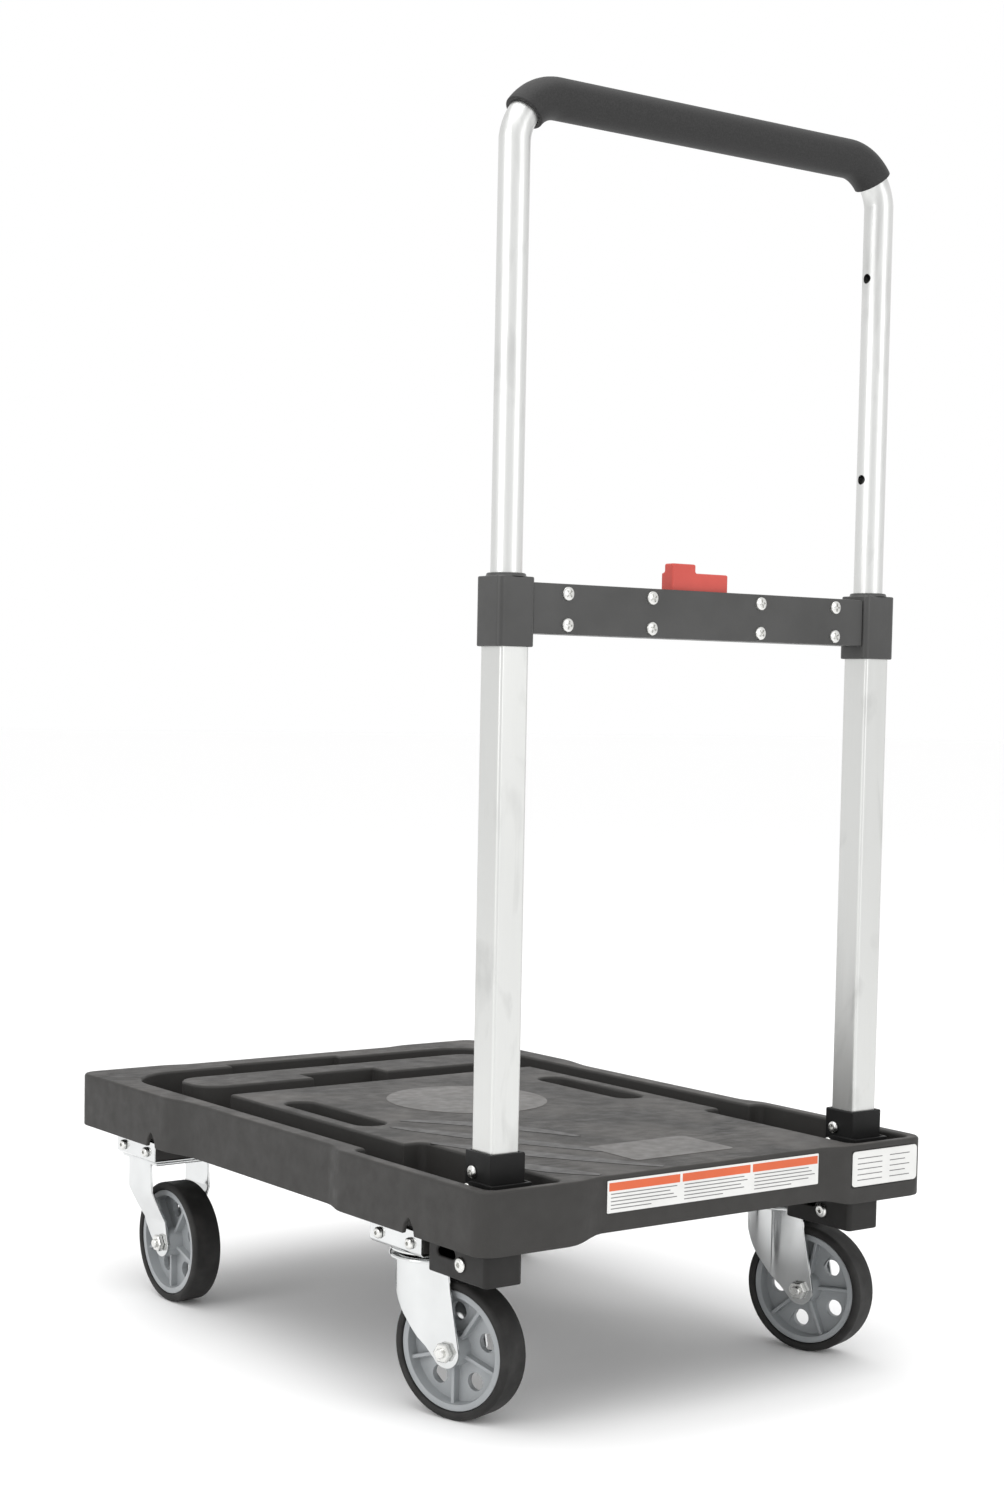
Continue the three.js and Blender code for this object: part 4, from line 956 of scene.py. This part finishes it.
swivel_fork = make_swivel_fork()
rigid_fork = make_rigid_fork()
race = make_race()
smooth(race)

for side, sign in SIDES:
    for kind, mount_y in (("swivel", SWIVEL_Y), ("rigid", RIGID_MOUNT_Y)):
        name = f"{kind}_{side}"
        tray = welded_copy(f"{name}_tray", f"{name}_channel")
        round_edges(tray, 0.0007)
        fit(tray, zinc, "base", "zinc_steel", f"{name}_tray")
    swivel = Matrix.Translation((sign * CASTER_X, SWIVEL_Y, 0))
    fit(moved(copy_of(race, f"swivel_{side}_ball_race"), swivel), zinc, "base", "zinc_steel",
        f"swivel_{side}_race")
    fork = moved(copy_of(swivel_fork, f"swivel_{side}_fork_plate"), swivel @ Matrix.Rotation(SWIVEL_TURN, 4, "Z"))
    fit(fork, zinc, f"swivel_{side}_caster", "zinc_steel", f"swivel_{side}_fork")
    fixed = Matrix.Translation((sign * CASTER_X, RIGID_AXLE_Y, 0))
    fit(moved(copy_of(rigid_fork, f"rigid_{side}_fork_plate"), fixed), zinc, "base", "zinc_steel",
        f"rigid_{side}_fork")
for pattern in (race, swivel_fork, rigid_fork):
    bpy.data.objects.remove(pattern)

# ---------------------------------------------------------------------------------------------
# Wheels. A grey moulded hub with a deep rim, five ribs and five round holes, under a black
# elastomer tread; each turns on a bolt with a hexagon nut on the left.

HUB_HALF = 0.0188
RIM_HALF = 0.014
RIM_OUTER = 0.055
RIM_INNER = 0.049
HUB_BOSS = 0.015
WEB_HALF = 0.003
HOLE_CIRCLE = 0.034
HUB_HOLE = 0.0082
RIBS = 5
RIB_TURNS = {"swivel_left": -90, "swivel_right": 31, "rigid_left": -90, "rigid_right": 5}

hub_plastic = moulded_finish("grey_hub_nylon", (0.27, 0.285, 0.295), (0.35, 0.365, 0.375), 0.42, 900.0)


def tyre_finish():
    """Black elastomer, dull, with faint dust where it rolls."""
    made = finish("tread_rubber", (0.022, 0.021, 0.02), 0.7, gloss=0.32)
    colour_by(made, remap(made, noise(made, 55.0, 5.0), 0.4, 0.75), (0.014, 0.0135, 0.013), (0.027, 0.026, 0.025))
    roughness_by(made, noise(made, 35.0, 4.0), 0.58, 0.76)
    raise_by(made, (noise(made, 1400.0, 2.0), 0.00008), (noise(made, 90.0, 3.0), 0.0002))
    return made


tread_rubber = tyre_finish()
TYRE_INNER = 0.0553
TYRE_HALF = 0.016
SHOULDER = 0.0042


def make_hub():
    """One hub about the Z axis, with a rib towards +X; rim and boss taper as moulded."""
    hub = turned("hub", (
        (AXLE_HOLE, -HUB_HALF), (HUB_BOSS - 0.001, -HUB_HALF), (HUB_BOSS, -WEB_HALF), (RIM_INNER - 0.001, -WEB_HALF),
        (RIM_INNER, -RIM_HALF), (RIM_OUTER, -RIM_HALF), (RIM_OUTER, RIM_HALF), (RIM_INNER, RIM_HALF),
        (RIM_INNER - 0.001, WEB_HALF), (HUB_BOSS, WEB_HALF), (HUB_BOSS - 0.001, HUB_HALF), (AXLE_HOLE, HUB_HALF)),
        96, True)
    for i in range(RIBS):
        about = Matrix.Rotation(math.radians(360 / RIBS * i), 4, "Z")
        rib = box_between("rib", (HUB_BOSS - 0.002, -0.0018, -0.0105), (RIM_INNER + 0.001, 0.0018, 0.0105))
        combined(hub, moved(rib, about), "UNION")
        between = Matrix.Rotation(math.radians(360 / RIBS * (i + 0.5)), 4, "Z")
        hole = turned("hole", ((HUB_HOLE, -0.01), (HUB_HOLE, 0.01)), 32)
        combined(hub, moved(hole, between @ Matrix.Translation((HOLE_CIRCLE, 0, 0))), "DIFFERENCE")
    round_edges(hub, 0.0007, 2, 30)
    return hub


def make_tyre():
    """A tread with round shoulders and a bead that stands a little over the rim."""
    corner = [(WHEEL_RADIUS - SHOULDER + SHOULDER * math.sin(math.radians(a)),
               TYRE_HALF - SHOULDER + SHOULDER * math.cos(math.radians(a))) for a in range(0, 91, 15)]
    half = [(TYRE_INNER, TYRE_HALF - 0.0022), (TYRE_INNER + 0.0006, TYRE_HALF - 0.0008),
            (TYRE_INNER + 0.0016, TYRE_HALF)] + corner
    crown = [(WHEEL_RADIUS, 0.0)]
    other = [(radius, -height) for radius, height in reversed(half)]
    tyre = turned("tyre", half + crown + other, 128, True)
    smooth(tyre, 50)
    return tyre


def make_axle():
    """Hexagon nut and thread tip at the low end, hexagon head at the high end, about the Z axis."""
    end = LEG_HALF + 0.0003
    parts = [turned("axle", ((0.0058, -end), (0.0058, end)), 32)]
    nut = hexagon_nut("nut", 0.0092, 0.0058)
    parts.append(moved(nut, Matrix.Translation((0, 0, -end)) @ Matrix.Rotation(math.pi, 4, "X")))
    tip = turned("tip", ((0.0046, 0), (0.0046, 0.0078), (0.0038, 0.0088)), 24)
    parts.append(moved(tip, Matrix.Translation((0, 0, -end)) @ Matrix.Rotation(math.pi, 4, "X")))
    parts.append(moved(hexagon_nut("head", 0.0092, 0.0048), Matrix.Translation((0, 0, end))))
    axle = joined("axle", parts)
    smooth(axle, 28)
    return axle


hub_pattern = make_hub()
tyre_pattern = make_tyre()
axle_pattern = make_axle()
to_axle = Matrix.Rotation(math.radians(90), 4, "Y")
for side, sign in SIDES:
    for kind in ("swivel", "rigid"):
        name = f"{kind}_{side}"
        if kind == "swivel":
            centre = (Matrix.Translation((sign * CASTER_X, SWIVEL_Y, WHEEL_RADIUS))
                      @ Matrix.Rotation(SWIVEL_TURN, 4, "Z") @ Matrix.Translation((0, -TRAIL, 0)))
        else:
            centre = Matrix.Translation((sign * CASTER_X, RIGID_AXLE_Y, WHEEL_RADIUS))
        rolled = Matrix.Rotation(math.radians(RIB_TURNS[name] + 90), 4, "X")
        place = centre @ rolled @ to_axle
        axle_body = f"{name}_caster" if kind == "swivel" else "base"
        fit(moved(copy_of(hub_pattern, f"{name}_wheel_hub"), place), hub_plastic, f"{name}_wheel",
            "hub_plastic", f"{name}_hub")
        fit(moved(copy_of(tyre_pattern, f"{name}_tread"), place), tread_rubber, f"{name}_wheel",
            "tyre_rubber", f"{name}_tyre")
        fit(moved(copy_of(axle_pattern, f"{name}_axle_bolt"), centre @ to_axle), bright_steel, axle_body,
            "bright_steel", f"{name}_axle")
for pattern in (hub_pattern, tyre_pattern, axle_pattern):
    bpy.data.objects.remove(pattern)
